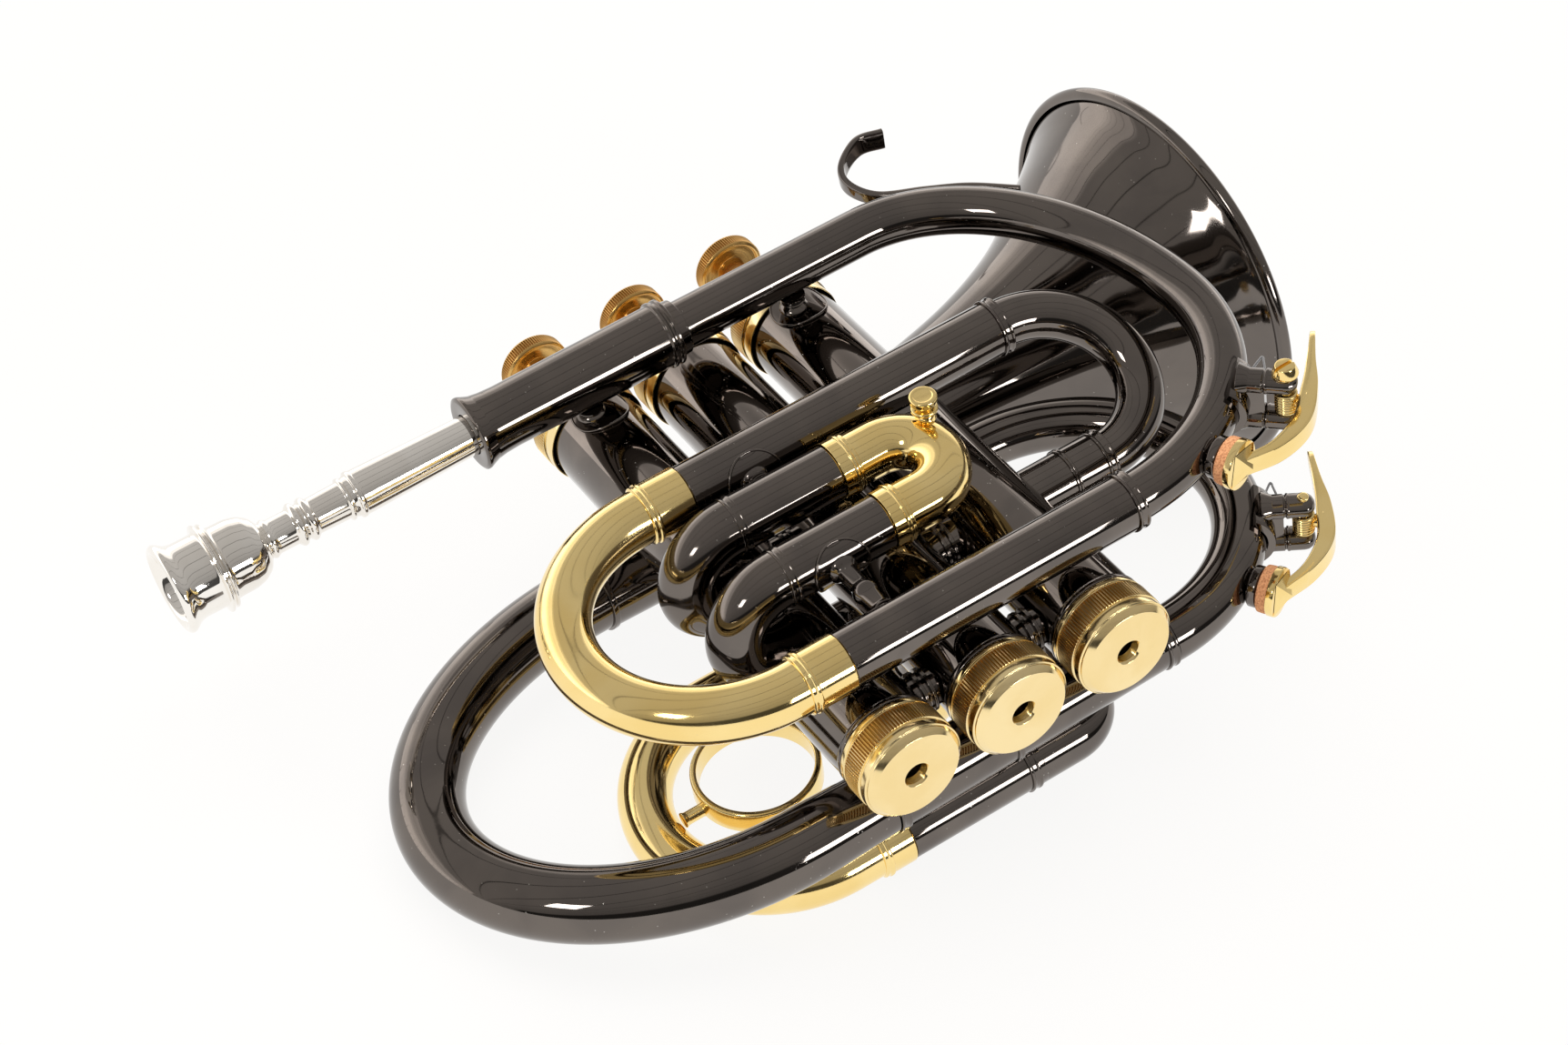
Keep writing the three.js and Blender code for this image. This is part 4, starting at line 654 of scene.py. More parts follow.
def make_button(k):
    button = BUTTON
    bm = bmesh.new()
    stand = place(at(CASING.pitch * (k - 1), 0, 0), UP)
    fit = STEM.radius + GAP / 2
    groove = [(button.collar + 1.4 + 1.1 * i, button.low + button.dish - 0.12 * (i % 2)) for i in range(3)]
    profile = [
        (0, button.low + STEM.seat), (fit, button.low + STEM.seat), (fit, button.collar_low),
        (button.collar, button.collar_low), (button.collar, button.low + button.dish), *groove,
        (button.lip - 0.5, button.low + 0.4), (button.lip, button.low), (button.radius, button.low + 0.6),
        (button.radius, button.top - 0.7), (button.lip + 0.1, button.top), (button.lip - 0.5, button.top),
        (button.lip - 1, button.top - 0.35), (button.lip - 3, button.top - 0.5), (0, button.top - 0.6),
    ]
    made = revolve(bm, eased(profile, 0.22), stand, button.teeth * 4)
    knurl(bm, made, stand, button.low + 0.8, button.top - 0.85, button.radius - 0.05, button.teeth, button.tooth)
    brass(bm, f"finger_button_{k + 1}", f"valve_{k + 1}", [f"button_{k + 1}"], BUTTON_BRASS)


def make_piston(k):
    body = f"valve_{k + 1}"
    x = CASING.pitch * (k - 1)
    stand = place(at(x, 0, 0), UP)
    radius = CASING.bore - GAP
    roof = TOP_CAP.ceiling - GAP
    bm = bmesh.new()
    barrel = [
        (0, PISTON.bottom), (radius, PISTON.bottom), (radius, PISTON.body_top), (radius - 0.3, PISTON.body_top + 0.4),
        (radius - 0.3, roof), (0, roof),
    ]
    revolve(bm, eased(barrel, 0.3), stand, 96)
    finish(bm, f"valve_piston_{k + 1}", body, MONEL, [f"piston_{k + 1}"])
    bm = bmesh.new()
    shaft = [(0, roof - 1), (STEM.radius, roof - 1), (STEM.radius, BUTTON.low + STEM.seat), (0, BUTTON.low + STEM.seat)]
    revolve(bm, eased(shaft, 0.3), stand, 48)
    brass(bm, f"valve_stem_{k + 1}", body)


def make_knuckles():
    for k in (0, 1):
        x = CASING.pitch * (k - 1)
        reach = CASING.bore + 0.1
        for label, size, height in (
            ("crossover_knuckle", CROSSOVER, CROSSOVER.heights[k]), ("casing_strut", STRUT, STRUT.height),
        ):
            bm = bmesh.new()
            start = at(x + reach, 0, height)
            length = CASING.pitch - 2 * reach
            revolve(bm, [(0, 0), (size.radius, 0), (size.radius, length), (0, length)], place(start, FORWARD), 80)
            for shift in (-1, 1):
                ring = at(x + CASING.pitch / 2 + shift * 0.95 - 0.45, 0, height)
                band(bm, ring, FORWARD, size.radius, 0.9, size.ring - size.radius)
            node_name = "crossover" if size is CROSSOVER else "casing_strut"
            black(bm, f"{label}_{k + 1}{k + 2}", [f"{node_name}_{k + 1}{k + 2}"])


# Lead side

def make_receiver():
    r = RECEIVER
    length = LEADPIPE.start_x - r.mouth
    bm = bmesh.new()
    shank = 4.85
    flare = [(r.lip - 0.35, 0.0), (r.flare, 0.35), (r.flare + 0.02, 1.0), (r.lip, 2.0), (r.lip - 0.55, 3.4),
             (r.lip - 0.9, 5.6), (r.radius, 9)]
    profile = [
        (shank, 0), *flare, (r.front, length - 5.6), (r.front + 0.55, length - 5.4), (r.front + 0.55, length - 4.6),
        (r.front + 0.1, length - 4.4), (r.front + 0.1, length - 3.8), (r.front + 0.5, length - 3.6),
        (r.front + 0.5, length - 2.8), (r.radius - 0.5, length - 2.6), (r.radius - 0.7, length - 0.2),
        (LEADPIPE.start + GAP, length), (LEADPIPE.start + GAP, length - r.socket), (4.4, length - r.socket), (4.4, 22),
        (4.6, 20),
    ]
    ring_revolve(bm, profile, place(at(r.mouth, NEAR, LEADPIPE.height), FORWARD), 128, 0.22)
    black(bm, "mouthpiece_receiver", ["receiver"])


def lead_path():
    lead = LEADPIPE
    start = at(lead.start_x - RECEIVER.socket + GAP, NEAR, lead.height)
    top = bend(
        at(lead.bend_start, NEAR, lead.reach_height), UP * (lead.height - lead.reach_height),
        FORWARD * (lead.reach - lead.bend_start), math.pi / 2, 36,
    )
    low = bend(
        at(lead.bend_end, NEAR, lead.reach_height), FORWARD * (lead.reach - lead.bend_end),
        -UP * (lead.reach_height - TUNING.lower), math.pi / 2, 36,
    )
    end = at(TUNING.lower_front - SLIDE.socket, NEAR, TUNING.lower)
    return [start, *top, *low[1:], end]


def make_leadpipe():
    bm = bmesh.new()
    path = lead_path()
    sweep(bm, path, even_radii(path, LEADPIPE.start, LEADPIPE.end), LEFT, 64)
    add_nipple(bm, LEAD_KEY)
    black(bm, "leadpipe_bow", ["leadpipe"])


def make_tuning_tubes():
    for label, height, front in (("lower", TUNING.lower, TUNING.lower_front), ("upper", TUNING.upper, TUNING.upper_front)):
        bm = bmesh.new()
        outer_tube(bm, at(TUNING.joint, NEAR, height), at(front, NEAR, height))
        black(bm, f"tuning_outer_tube_{label}", [f"{label}_tuning_tube"])


def make_tuning_slide():
    bm = bmesh.new()
    slide(
        bm, at(TUNING.joint, NEAR, TUNING.lower), UP * (TUNING.upper - TUNING.lower), -FORWARD,
        TUNING.leg, TUNING.ferrule, TUNING.ferrule_radius, TUNING.bow, count=72,
    )
    brass(bm, "main_tuning_slide", "tuning_slide", ["tuning_slide"])


def make_entry():
    start = at(TUNING.upper_front, NEAR, TUNING.upper)
    low = at(ENTRY.front, 0, ENTRY.height)
    centre = (start + low) / 2
    curve = bend(centre, start - centre, FORWARD * ENTRY.reach, math.pi, 64)
    path = [start - FORWARD * SLIDE.socket, *curve, low - FORWARD * SLIDE.socket]
    bm = bmesh.new()
    sweep(bm, path, [ENTRY.radius] * len(path), LEFT, 56)
    black(bm, "entry_bow_tube", ["entry_bow"])
    bm = bmesh.new()
    sleeve = [
        (0, 0), (ENTRY.sleeve, 0), (ENTRY.sleeve, ENTRY.front - CASING.pitch - CASING.bore - BAND.width),
        (ENTRY.sleeve, ENTRY.front - CASING.pitch - CASING.bore), (0, ENTRY.front - CASING.pitch - CASING.bore),
    ]
    revolve(bm, eased(sleeve, 0.2), place(at(CASING.pitch + CASING.bore, 0, ENTRY.height), FORWARD), 80)
    band(bm, low - FORWARD * BAND.width, FORWARD, ENTRY.sleeve)
    band(bm, at(ENTRY.rear, 0, ENTRY.height), FORWARD, ENTRY.sleeve, 1.3)
    black(bm, "entry_sleeve", ["entry_knuckle"])


def make_first_tubes():
    s = FIRST
    for label, height in (("upper", s.upper), ("lower", s.lower)):
        bm = bmesh.new()
        start = at(s.elbow_x, NEAR, height)
        outer_tube(bm, start, at(s.joint, NEAR, height), bands=0)
        band(bm, start + FORWARD * 0.4, FORWARD, SLIDE.outer, 2.2, 0.32)
        elbow_centre = at(s.elbow_x, NEAR + s.elbow, height)
        elbow = bend(elbow_centre, -LEFT * s.elbow, -FORWARD * s.elbow, math.pi / 2, 24)
        turn_centre = at(s.elbow_x - s.elbow + s.turn, elbow_centre.y, height)
        turn = bend(turn_centre, -FORWARD * s.turn, LEFT * s.turn, math.radians(s.turn_angle), 16)
        angle = math.radians(s.turn_angle)
        heading = at(math.sin(angle), math.cos(angle), 0)
        path = [start + FORWARD * 0.6, *elbow, *turn[1:], turn[-1] + heading * 2]
        sweep(bm, path, [SLIDE.outer - 0.02] * len(path), UP, 64, seat=casing_seat(0))
        black(bm, f"first_outer_tube_{label}", [f"first_slide_tube_{label}"])


def make_first_slide():
    bm = bmesh.new()
    slide(
        bm, at(FIRST.joint, NEAR, FIRST.lower), UP * (FIRST.upper - FIRST.lower), FORWARD,
        FIRST.leg, FIRST.ferrule, FIRST.ferrule_radius, FIRST.bow, FIRST.straight, 48,
    )
    brass(bm, "first_valve_slide", "first_slide", ["first_slide"])
    bm = bmesh.new()
    seat = FIRST.bow - 0.9
    profile = [
        (0, seat), (2.5, seat), (2.1, seat + 1.2), (1.75, seat + 1.8), (2.9, seat + 2.2), (3.05, seat + 2.7),
        (2.9, seat + 3.2), (1.7, seat + 3.5), (1.6, seat + 4.1), (2.9, seat + 4.4), (3.15, seat + 5),
        (3.15, seat + 6.1), (2.8, seat + 6.5), (2.2, seat + 6.5), (2, seat + 6.3), (0, seat + 6.2),
    ]
    revolve(bm, eased(profile, 0.25), place(at(KNOB.x, NEAR, KNOB.height), -LEFT), 64)
    brass(bm, "slide_pull_knob", "first_slide", ["first_slide_knob"])


# Braces

def wrapped_flange(bm, centre, axis, out, radius):
    """A thin round plate wrapped on a round body: its edge is a fine raised bead."""
    sideways = axis.cross(out)

    def on_body(along, around, lift):
        reach = min(around / radius, 1.2)
        return centre + axis * along + out * ((radius + lift) * math.cos(reach)) + sideways * ((radius + lift) * math.sin(reach))

    bmesh.ops.create_circle(bm, cap_ends=True, cap_tris=True, segments=72, radius=BRACE.flange)
    spokes = [e for e in bm.edges if len(e.link_faces) == 2]
    bmesh.ops.subdivide_edges(bm, edges=spokes, cuts=7, use_grid_fill=True)
    shell = bmesh.ops.extrude_face_region(bm, geom=list(bm.faces))["geom"]
    raised = {g for g in shell if isinstance(g, bmesh.types.BMVert)}
    for vert in bm.verts:
        lift = BRACE.thickness if vert in raised else -0.3
        vert.co = on_body(vert.co.x, vert.co.y, lift)
    loop = [
        on_body(BRACE.flange * math.cos(FULL_TURN * i / 72), BRACE.flange * math.sin(FULL_TURN * i / 72), BRACE.edge)
        for i in range(73)
    ]
    sweep(bm, loop, [BRACE.edge] * len(loop), out, 10)


def make_brace(name, stands_for, start, end, carrier, axis, radius, other_radius):
    """A turned post from a flange on its carrier to the tube beyond."""
    bm = bmesh.new()
    out = (end - start).normalized()
    wrapped_flange(bm, carrier, axis, out, radius)
    base = (start - carrier).dot(out)
    low = radius - base - 0.2
    high = (end - start).length - other_radius + 0.5
    span = high - low
    post = BRACE.post
    profile = [
        (0, low), (post + 1.2, low), (post + 0.9, low + 0.8), (post - 0.1, low + 1.7), (post - 0.25, low + span * 0.42),
        (post + 0.45, low + span * 0.5), (post + 0.55, low + span * 0.56), (post + 0.1, low + span * 0.64),
        (post - 0.3, high - 1.8), (post + 0.3, high - 1), (post + 0.9, high - 0.4), (0, high),
    ]
    revolve(bm, eased(profile, 0.5), place(start, out), 48)
    black(bm, name, stands_for)


def make_braces():
    make_brace(
        "receiver_post", ["receiver_brace"], at(BRACE_X.receiver, 0, BRACE_HEIGHT), at(BRACE_X.receiver, NEAR, BRACE_HEIGHT),
        at(-CASING.pitch, 0, BRACE_HEIGHT), UP, CASING.radius, RECEIVER.front,
    )
    make_brace(
        "leadpipe_post", ["leadpipe_brace"], at(BRACE_X.leadpipe, 0, BRACE_HEIGHT), at(BRACE_X.leadpipe, NEAR, BRACE_HEIGHT),
        at(CASING.pitch, 0, BRACE_HEIGHT), UP, CASING.radius, LEADPIPE.start,
    )
    make_brace(
        "upper_slide_post", ["tuning_brace_upper"], at(BRACE_X.slides, NEAR, TUNING.upper), at(BRACE_X.slides, NEAR, FIRST.upper),
        at(BRACE_X.slides, NEAR, TUNING.upper), FORWARD, SLIDE.outer, SLIDE.outer,
    )
    make_brace(
        "lower_slide_post", ["tuning_brace_lower"], at(BRACE_X.slides, NEAR, FIRST.lower), at(BRACE_X.slides, NEAR, TUNING.lower),
        at(BRACE_X.slides, NEAR, FIRST.lower), FORWARD, SLIDE.outer, SLIDE.outer,
    )
    share = (BELL_BRACE.x - BELL.tail.x) / (BELL.rim.x - BELL.tail.x)
    centre = BELL.tail.lerp(BELL.rim, share)
    make_brace(
        "bell_post", ["bell_brace"], at(BELL_BRACE.x, 0, BELL_BRACE.height), at(BELL_BRACE.x, centre.y, BELL_BRACE.height),
        at(BELL_BRACE.x, 0, BELL_BRACE.height), UP, CASING.radius, bell_radius(share) - 1,
    )


def make_hook():
    h = HOOK
    lift = LEADPIPE.start + GAP + h.thickness / 2
    rise = LEADPIPE.height - LEADPIPE.reach_height
    run = LEADPIPE.reach - LEADPIPE.bend_start

    def on_bow(x):
        angle = math.asin((x - LEADPIPE.bend_start) / run)
        out = at(math.sin(angle) / run, 0, math.cos(angle) / rise).normalized()
        return at(x, NEAR, LEADPIPE.reach_height + rise * math.cos(angle)) + out * lift

    path = smooth_run([
        on_bow(h.foot_front), on_bow((h.foot_front + h.foot_rear) / 2), on_bow(h.foot_rear), at(56.5, NEAR + 0.7, 135.4),
        at(53.4, NEAR + 0.9, 143), at(55.4, NEAR + 0.9, 149.4), at(63, NEAR + 0.9, 154.6),
        at(69.5, NEAR + 0.9, 153.2),
    ], 12)
    bm = bmesh.new()
    count = len(path)
    sizes = []
    for i in range(count):
        share = i / (count - 1)
        taper = 0.62 + 0.38 * min(1, abs(share - 0.42) / 0.42) ** 1.5
        sizes.append((h.width / 2 * taper, h.thickness / 2 * (1.35 - 0.35 * taper)))
    corner = 0.42
    flat = []
    for u, v in ((1, 1), (-1, 1), (-1, -1), (1, -1)):
        for i in range(6):
            turn = math.atan2(v, u) - math.pi / 4 + math.pi / 2 * i / 5
            flat.append((u * (1 - corner) + corner * math.cos(turn), v * (1 - corner) + corner * math.sin(turn)))
    sweep(bm, path, sizes, LEFT, section=flat)
    black(bm, "little_finger_hook", ["finger_hook"])


# Bell side

def bell_radius(share):
    """The bell's outer radius at a share of its length from the tail."""
    table = [(0, 1), *FLARE_SHARES, (1, BELL.tail_radius / BELL.rim_radius)]
    along = 1 - share
    for (a, low), (b, high) in zip(table, table[1:]):
        if a <= along <= b:
            return BELL.rim_radius * (low + (high - low) * (along - a) / (b - a))
    return BELL.tail_radius


def make_bell():
    axis = BELL.rim - BELL.tail
    length = axis.length
    table = [(BELL.tail_radius, 0)]
    table += [(BELL.rim_radius * wide, length * (1 - along)) for along, wide in reversed(FLARE_SHARES)]
    lip = BELL.rim_radius - BELL.bead
    table.append((lip, length - 0.3))
    outer = [v.to_2d() for v in smooth_run([Vector((r, z, 0)) for r, z in table], 9)]
    inner = [Vector((r - BELL.wall, z + 0.15)) for r, z in reversed(outer[:-4])]
    centre = Vector((lip, length - BELL.bead + 0.6))
    bead = [
        centre + Vector((BELL.bead * math.cos(math.radians(a)), BELL.bead * math.sin(math.radians(a))))
        for a in range(-115, 150, 12)
    ]
    bm = bmesh.new()
    revolve(bm, [*outer[:-2], *bead, *inner], place(BELL.tail, axis), 160, closed=True)
    tail_band = place(BELL.tail, axis)
    ring_revolve(bm, [
        (BELL.tail_radius - 0.5, 0), (BELL.tail_radius + 0.45, 0), (BELL.tail_radius + 0.45, 1.5),
        (BELL.tail_radius - 0.5, 1.5),
    ], tail_band, 96, 0.25)
    black(bm, "bell_flare", ["bell"])


def make_tail():
    t = TAIL
    axis = (BELL.rim - BELL.tail).normalized()
    count = 44

    def quarter(first, second, begin):
        points = bend(at(BELL.tail.x, 0, t.reach_height), first, second, math.pi / 2, count)
        for i, point in enumerate(points):
            point.y = BELL.tail.y + (FAR - BELL.tail.y) * (begin + i / count) / 2
        return points

    upper = quarter(UP * (BELL.tail.z - t.reach_height), FORWARD * (t.reach_x - BELL.tail.x), 0)
    lower = quarter(FORWARD * (t.reach_x - BELL.tail.x), UP * (t.low - t.reach_height), 1)
    bow = [*upper[3:], *lower[1:]]
    start = [BELL.tail + axis * 2, BELL.tail - axis * GAP]
    end = at(t.end_x - GAP, FAR, t.low)
    points = [*start, *bow, end]
    radii = [BELL.tail_radius - 0.3, BELL.tail_radius - 0.2]
    radii += even_radii(bow, t.bow, t.low_radius) + [t.end]
    bm = bmesh.new()
    sweep(bm, points, radii, LEFT, 80)
    spigot = [(0, -1), (SLIDE.inner, -1), (SLIDE.inner, SLIDE.socket), (0, SLIDE.socket)]
    revolve(bm, eased(spigot, 0.2), place(end, FORWARD), 64)
    black(bm, "tail_bow_tube", ["tail_bow"])


def make_lower_run():
    length = LOWER.front - TAIL.end_x
    bm = bmesh.new()
    bore = SLIDE.inner + GAP
    share = (LOWER.ring_x - TAIL.end_x) / length
    profile = [(bore, 0), (TAIL.end, 0), (TAIL.end + (LOWER.radius - TAIL.end) * share, length * share),
               (LOWER.radius, length), (bore, length)]
    stand = place(at(TAIL.end_x, FAR, TAIL.low), FORWARD)
    ring_revolve(bm, profile, stand, 96, 0.2)
    band(bm, at(TAIL.end_x, FAR, TAIL.low), FORWARD, TAIL.end)
    band(bm, at(LOWER.ring_x, FAR, TAIL.low), FORWARD, TAIL.end + (LOWER.radius - TAIL.end) * share, 1.6)
    band(bm, at(LOWER.front - BAND.width, FAR, TAIL.low), FORWARD, LOWER.radius)
    black(bm, "lower_run_tube", ["lower_run"])


def front_path():
    middle = (TAIL.low + FRONT.high) / 2
    start = LOWER.front + GAP
    centre = at(start + 1.3, FAR, middle)
    curve = bend(centre, -UP * (middle - TAIL.low), FORWARD * FRONT.reach, math.pi, 80)
    return [at(start, FAR, TAIL.low), *curve, at(start, FAR, FRONT.high)]


def make_front_bow():
    bm = bmesh.new()
    path = front_path()
    sweep(bm, path, even_radii(path, LOWER.radius, FRONT.end), LEFT, 64)
    for height in (TAIL.low, FRONT.high):
        spigot = [(0, -1), (SLIDE.inner, -1), (SLIDE.inner, SLIDE.socket), (0, SLIDE.socket)]
        revolve(bm, eased(spigot, 0.2), place(at(LOWER.front + GAP, FAR, height), -FORWARD), 64)
    add_nipple(bm, FRONT_KEY)
    black(bm, "front_bow_tube", ["front_bow"])


def make_return_tube():
    turn_x = -CASING.pitch + RETURN.bend
    curve = bend(at(turn_x, FAR - RETURN.bend, FRONT.high), LEFT * RETURN.bend, -FORWARD * RETURN.bend, math.pi / 2, 20)
    start = at(LOWER.front - SLIDE.socket - 1, FAR, FRONT.high)
    path = [start, at(0, FAR, FRONT.high), *curve, at(-CASING.pitch, CASING.radius, FRONT.high)]
    bm = bmesh.new()
    sweep(bm, path, even_radii(path, SLIDE.outer, RETURN.radius), UP, 64, seat=casing_seat(0))
    outer_tube(bm, start - FORWARD, at(LOWER.front, FAR, FRONT.high))
    black(bm, "return_tube_run", ["return_tube"])


def make_second_slide():
    for label, height in (("upper", SECOND.upper), ("lower", SECOND.lower)):
        bm = bmesh.new()
        outer_tube(bm, at(0, CASING.bore, height), at(0, SECOND.joint, height), bands=0)
        band(bm, at(0, SECOND.joint - 1.5, height), LEFT, SLIDE.outer, 1.5)
        black(bm, f"second_outer_tube_{label}", [f"second_slide_tube_{label}"])
    bm = bmesh.new()
    slide(
        bm, at(0, SECOND.joint, SECOND.lower), UP * (SECOND.upper - SECOND.lower), LEFT,
        SECOND.leg, SECOND.ferrule, SECOND.ferrule_radius, SECOND.bow, count=48,
    )
    brass(bm, "second_valve_slide", "second_slide", ["second_slide"])


def make_third_slide():
    s = THIRD
    upper_bend = bend(at(s.entry_x - s.elbow, s.plane - s.elbow, s.upper), LEFT * s.elbow, FORWARD * s.elbow, math.pi / 2, 20)
    upper = [at(s.joint + s.leg + 1, s.plane, s.upper), *upper_bend, at(s.entry_x, CASING.radius, s.upper)]
    first = bend(at(s.turn_x, s.plane, s.lower + s.elbow), -UP * s.elbow, FORWARD * s.elbow, math.pi / 2, 20)
    turn_x = s.turn_x + s.elbow
    rise = s.entry_height - s.lower - s.elbow
    second = bend(at(turn_x, s.plane - s.elbow, s.lower + rise), LEFT * s.elbow, UP * s.elbow, math.pi / 2, 20)
    lower = [at(s.joint + s.leg + 1, s.plane, s.lower), *first, *second[1:], at(turn_x, CASING.radius, s.entry_height)]
    for label, height, path in (("upper", s.upper, upper), ("lower", s.lower, lower)):
        bm = bmesh.new()
        outer_tube(bm, at(s.joint + s.leg + 2, s.plane, height), at(s.joint, s.plane, height), bands=0)
        sweep(bm, path, [SLIDE.outer - 0.02] * len(path), LEFT, 64, seat=casing_seat(2))
        band(bm, at(s.joint + s.leg - 2, s.plane, height), FORWARD, SLIDE.outer)
        black(bm, f"third_outer_tube_{label}", [f"third_slide_tube_{label}"])
    bm = bmesh.new()
    slide(
        bm, at(s.joint, s.plane, s.lower), UP * (s.upper - s.lower), -FORWARD, s.leg, s.ferrule,
        s.ferrule_radius, s.bow, straight=s.joint - s.bow_x - s.ferrule, count=72,
    )
    brass(bm, "third_valve_slide", "third_slide", ["third_slide"])


def make_finger_ring():
    r = FINGER_RING
    bm = bmesh.new()
    profile = [
        (r.radius - r.wall, 0.2), (r.radius - r.wall + 0.4, 0), (r.radius - 0.3, 0), (r.radius, 0.5), (r.radius, r.width - 0.5),
        (r.radius - 0.3, r.width), (r.radius - r.wall + 0.4, r.width), (r.radius - r.wall, r.width - 0.2),
    ]
    ring_revolve(bm, profile, place(at(r.x, r.y - r.width / 2, r.height), LEFT), 128, 0.25)
    foot_end = THIRD.bow_x - (THIRD.upper - THIRD.lower) / 2 + THIRD.bow - 0.5
    ring_edge = r.x - r.radius + r.wall / 2
    foot = [(0, 0), (1.9, 0), (1.5, 0.9), (1.5, ring_edge - foot_end - 0.6), (2.2, ring_edge - foot_end), (0, ring_edge - foot_end)]
    revolve(bm, eased(foot, 0.3), place(at(foot_end, r.y + r.width / 2 - 1.2, r.height), FORWARD), 40)
    brass(bm, "third_slide_finger_ring", "third_slide", ["finger_ring"])


# Mouthpiece

def make_mouthpiece():
    m = MOUTHPIECE
    total = m.protrusion + m.insertion
    outside = [
        (8.0, 0.5), (8.9, -0.35), (9.7, -0.3), (10.4, 0.35), (10.45, 1.1), (9.9, 2.0), (9.1, 3.1), (8.75, 4.4), (8.75, 9.2),
        (9.0, 9.7), (10.35, 9.9), (10.4, 10.4), (9.3, 10.6), (9.3, 11.1), (9.95, 11.3), (9.95, 11.8), (8.6, 12.1),
        (8.35, 13.4), (8.3, 17), (7.7, 19.6), (6.4, 21.6), (4.9, 22.6), (3.95, 23), (4.4, 23.5), (4.6, 24.1), (4.2, 24.7),
        (4.0, 25.2), (4.0, 29.6), (4.5, 30), (5.1, 30.6), (5.0, 31.3), (4.1, 32), (4.2, 32.5), (4.9, 33), (5.1, 33.7),
        (4.6, 34.3), (4.15, 34.8), (4.3, 42.0), (4.35, 42.3), (5.0, 42.5), (5.0, 43.1), (4.5, 43.4), (4.9, 44.6), (5.5, 44.8),
        (5.5, 45.6), (5.25, 45.9),
    ]
    shank = [(5.25, 47), (4.6, m.protrusion), (4.1, total - 0.3)]
    inside = [
        (3.4, total), (3.0, total - 0.6), (2.4, total - 30), (1.9, 24), (1.9, 15), (2.4, 12.6), (3.9, 11), (5.6, 8.8),
        (6.9, 5.6), (7.6, 2.6),
    ]
    profile = [*outside, *shank, *inside]
    bm = bmesh.new()
    ring_revolve(bm, profile, place(at(RECEIVER.mouth - m.protrusion, NEAR, LEADPIPE.height), FORWARD), 128, 0.6)
    finish(bm, "mouthpiece_body", "mouthpiece", SILVER, ["mouthpiece"], sharp=32)


# Water keys. A place on the bow is given by its angle from the bottom; out points away from the
# bow and along runs forward and up beside it.

KEY = Sizes(
    hinge_reach=14.2, lug=3.1, lug_width=4.4, barrel_width=5.2, barrel=2.5, pin=1.3, head=2.9, foot_wall=1.2,
    foot_half=6, foot=7, lever_reach=22, lever_thickness=1.9, lever_width=4.8, tip_width=3.6, nipple=4.7,
    nipple_height=2, cork=5.3, cork_thickness=2.8, cup=5.5, cup_depth=1.9, cup_floor=1.2, neck=3.1, head_height=2.5,
)
LEVER_SHARES = [(-0.7, 0.02), (-0.33, 0.2), (0.14, 0.21), (0.52, 0.17), (0.97, 0.12)]


def bow_place(centre, reach, drop, degrees):
    angle = math.radians(degrees)
    point = centre + at(reach * math.sin(angle), 0, -drop * math.cos(angle))
    out = at(math.sin(angle) / reach, 0, -math.cos(angle) / drop).normalized()
    return Sizes(at=point, out=out, along=at(-out.z, 0, out.x))


def water_key(centre, reach, drop, radius, hinge_angle, nipple_angle):
    seat = bow_place(centre, reach, drop, hinge_angle)
    nipple = bow_place(centre, reach, drop, nipple_angle)
    return Sizes(
        seat=seat, nipple=nipple, radius=radius, hinge=seat.at + seat.out * KEY.hinge_reach,
        top=nipple.at + nipple.out * (radius + KEY.nipple_height),
    )


FRONT_MIDDLE = (TAIL.low + FRONT.high) / 2
LEAD_KEY = water_key(
    at(LEADPIPE.bend_end, NEAR, LEADPIPE.reach_height), LEADPIPE.reach - LEADPIPE.bend_end,
    LEADPIPE.reach_height - TUNING.lower, LEADPIPE.end, 44.6, 24,
)
FRONT_KEY = water_key(
    at(LOWER.front + GAP + 1.3, FAR, FRONT_MIDDLE), FRONT.reach, FRONT_MIDDLE - TAIL.low, LOWER.radius, 56, 31,
)


def add_nipple(bm, key):
    """The spit hole's raised seat, flared where it is soldered to the bow."""
    top = key.radius + KEY.nipple_height
    foot = key.radius - 1.2
    profile = [
        (0, foot), (KEY.neck + 1.3, foot), (KEY.neck + 0.3, top - 2.5), (KEY.neck, top - 2.3), (KEY.nipple - 0.3, top - 2.2),
        (KEY.nipple, top - 1.9), (KEY.nipple, top - 0.3), (KEY.nipple - 0.3, top), (1.6, top), (1.5, top - 1), (0, top - 1),
    ]
    revolve(bm, eased(profile, 0.3), place(key.nipple.at, key.nipple.out), 56)


def cut_slot(bm, hinge, across, floor, half=0.36):
    """Sinks a screwdriver slot in the head of a hinge screw."""
    for cut in (-half - 0.08, -half, half, half + 0.08):
        everything = list(bm.verts) + list(bm.edges) + list(bm.faces)
        bmesh.ops.bisect_plane(bm, geom=everything, dist=0.0001, plane_co=hinge + across * cut, plane_no=across)
    for vert in bm.verts:
        local = vert.co - hinge
        if -local.dot(LEFT) > floor and abs(local.dot(across)) < half + 0.03:
            vert.co += LEFT * (-local.dot(LEFT) - floor)


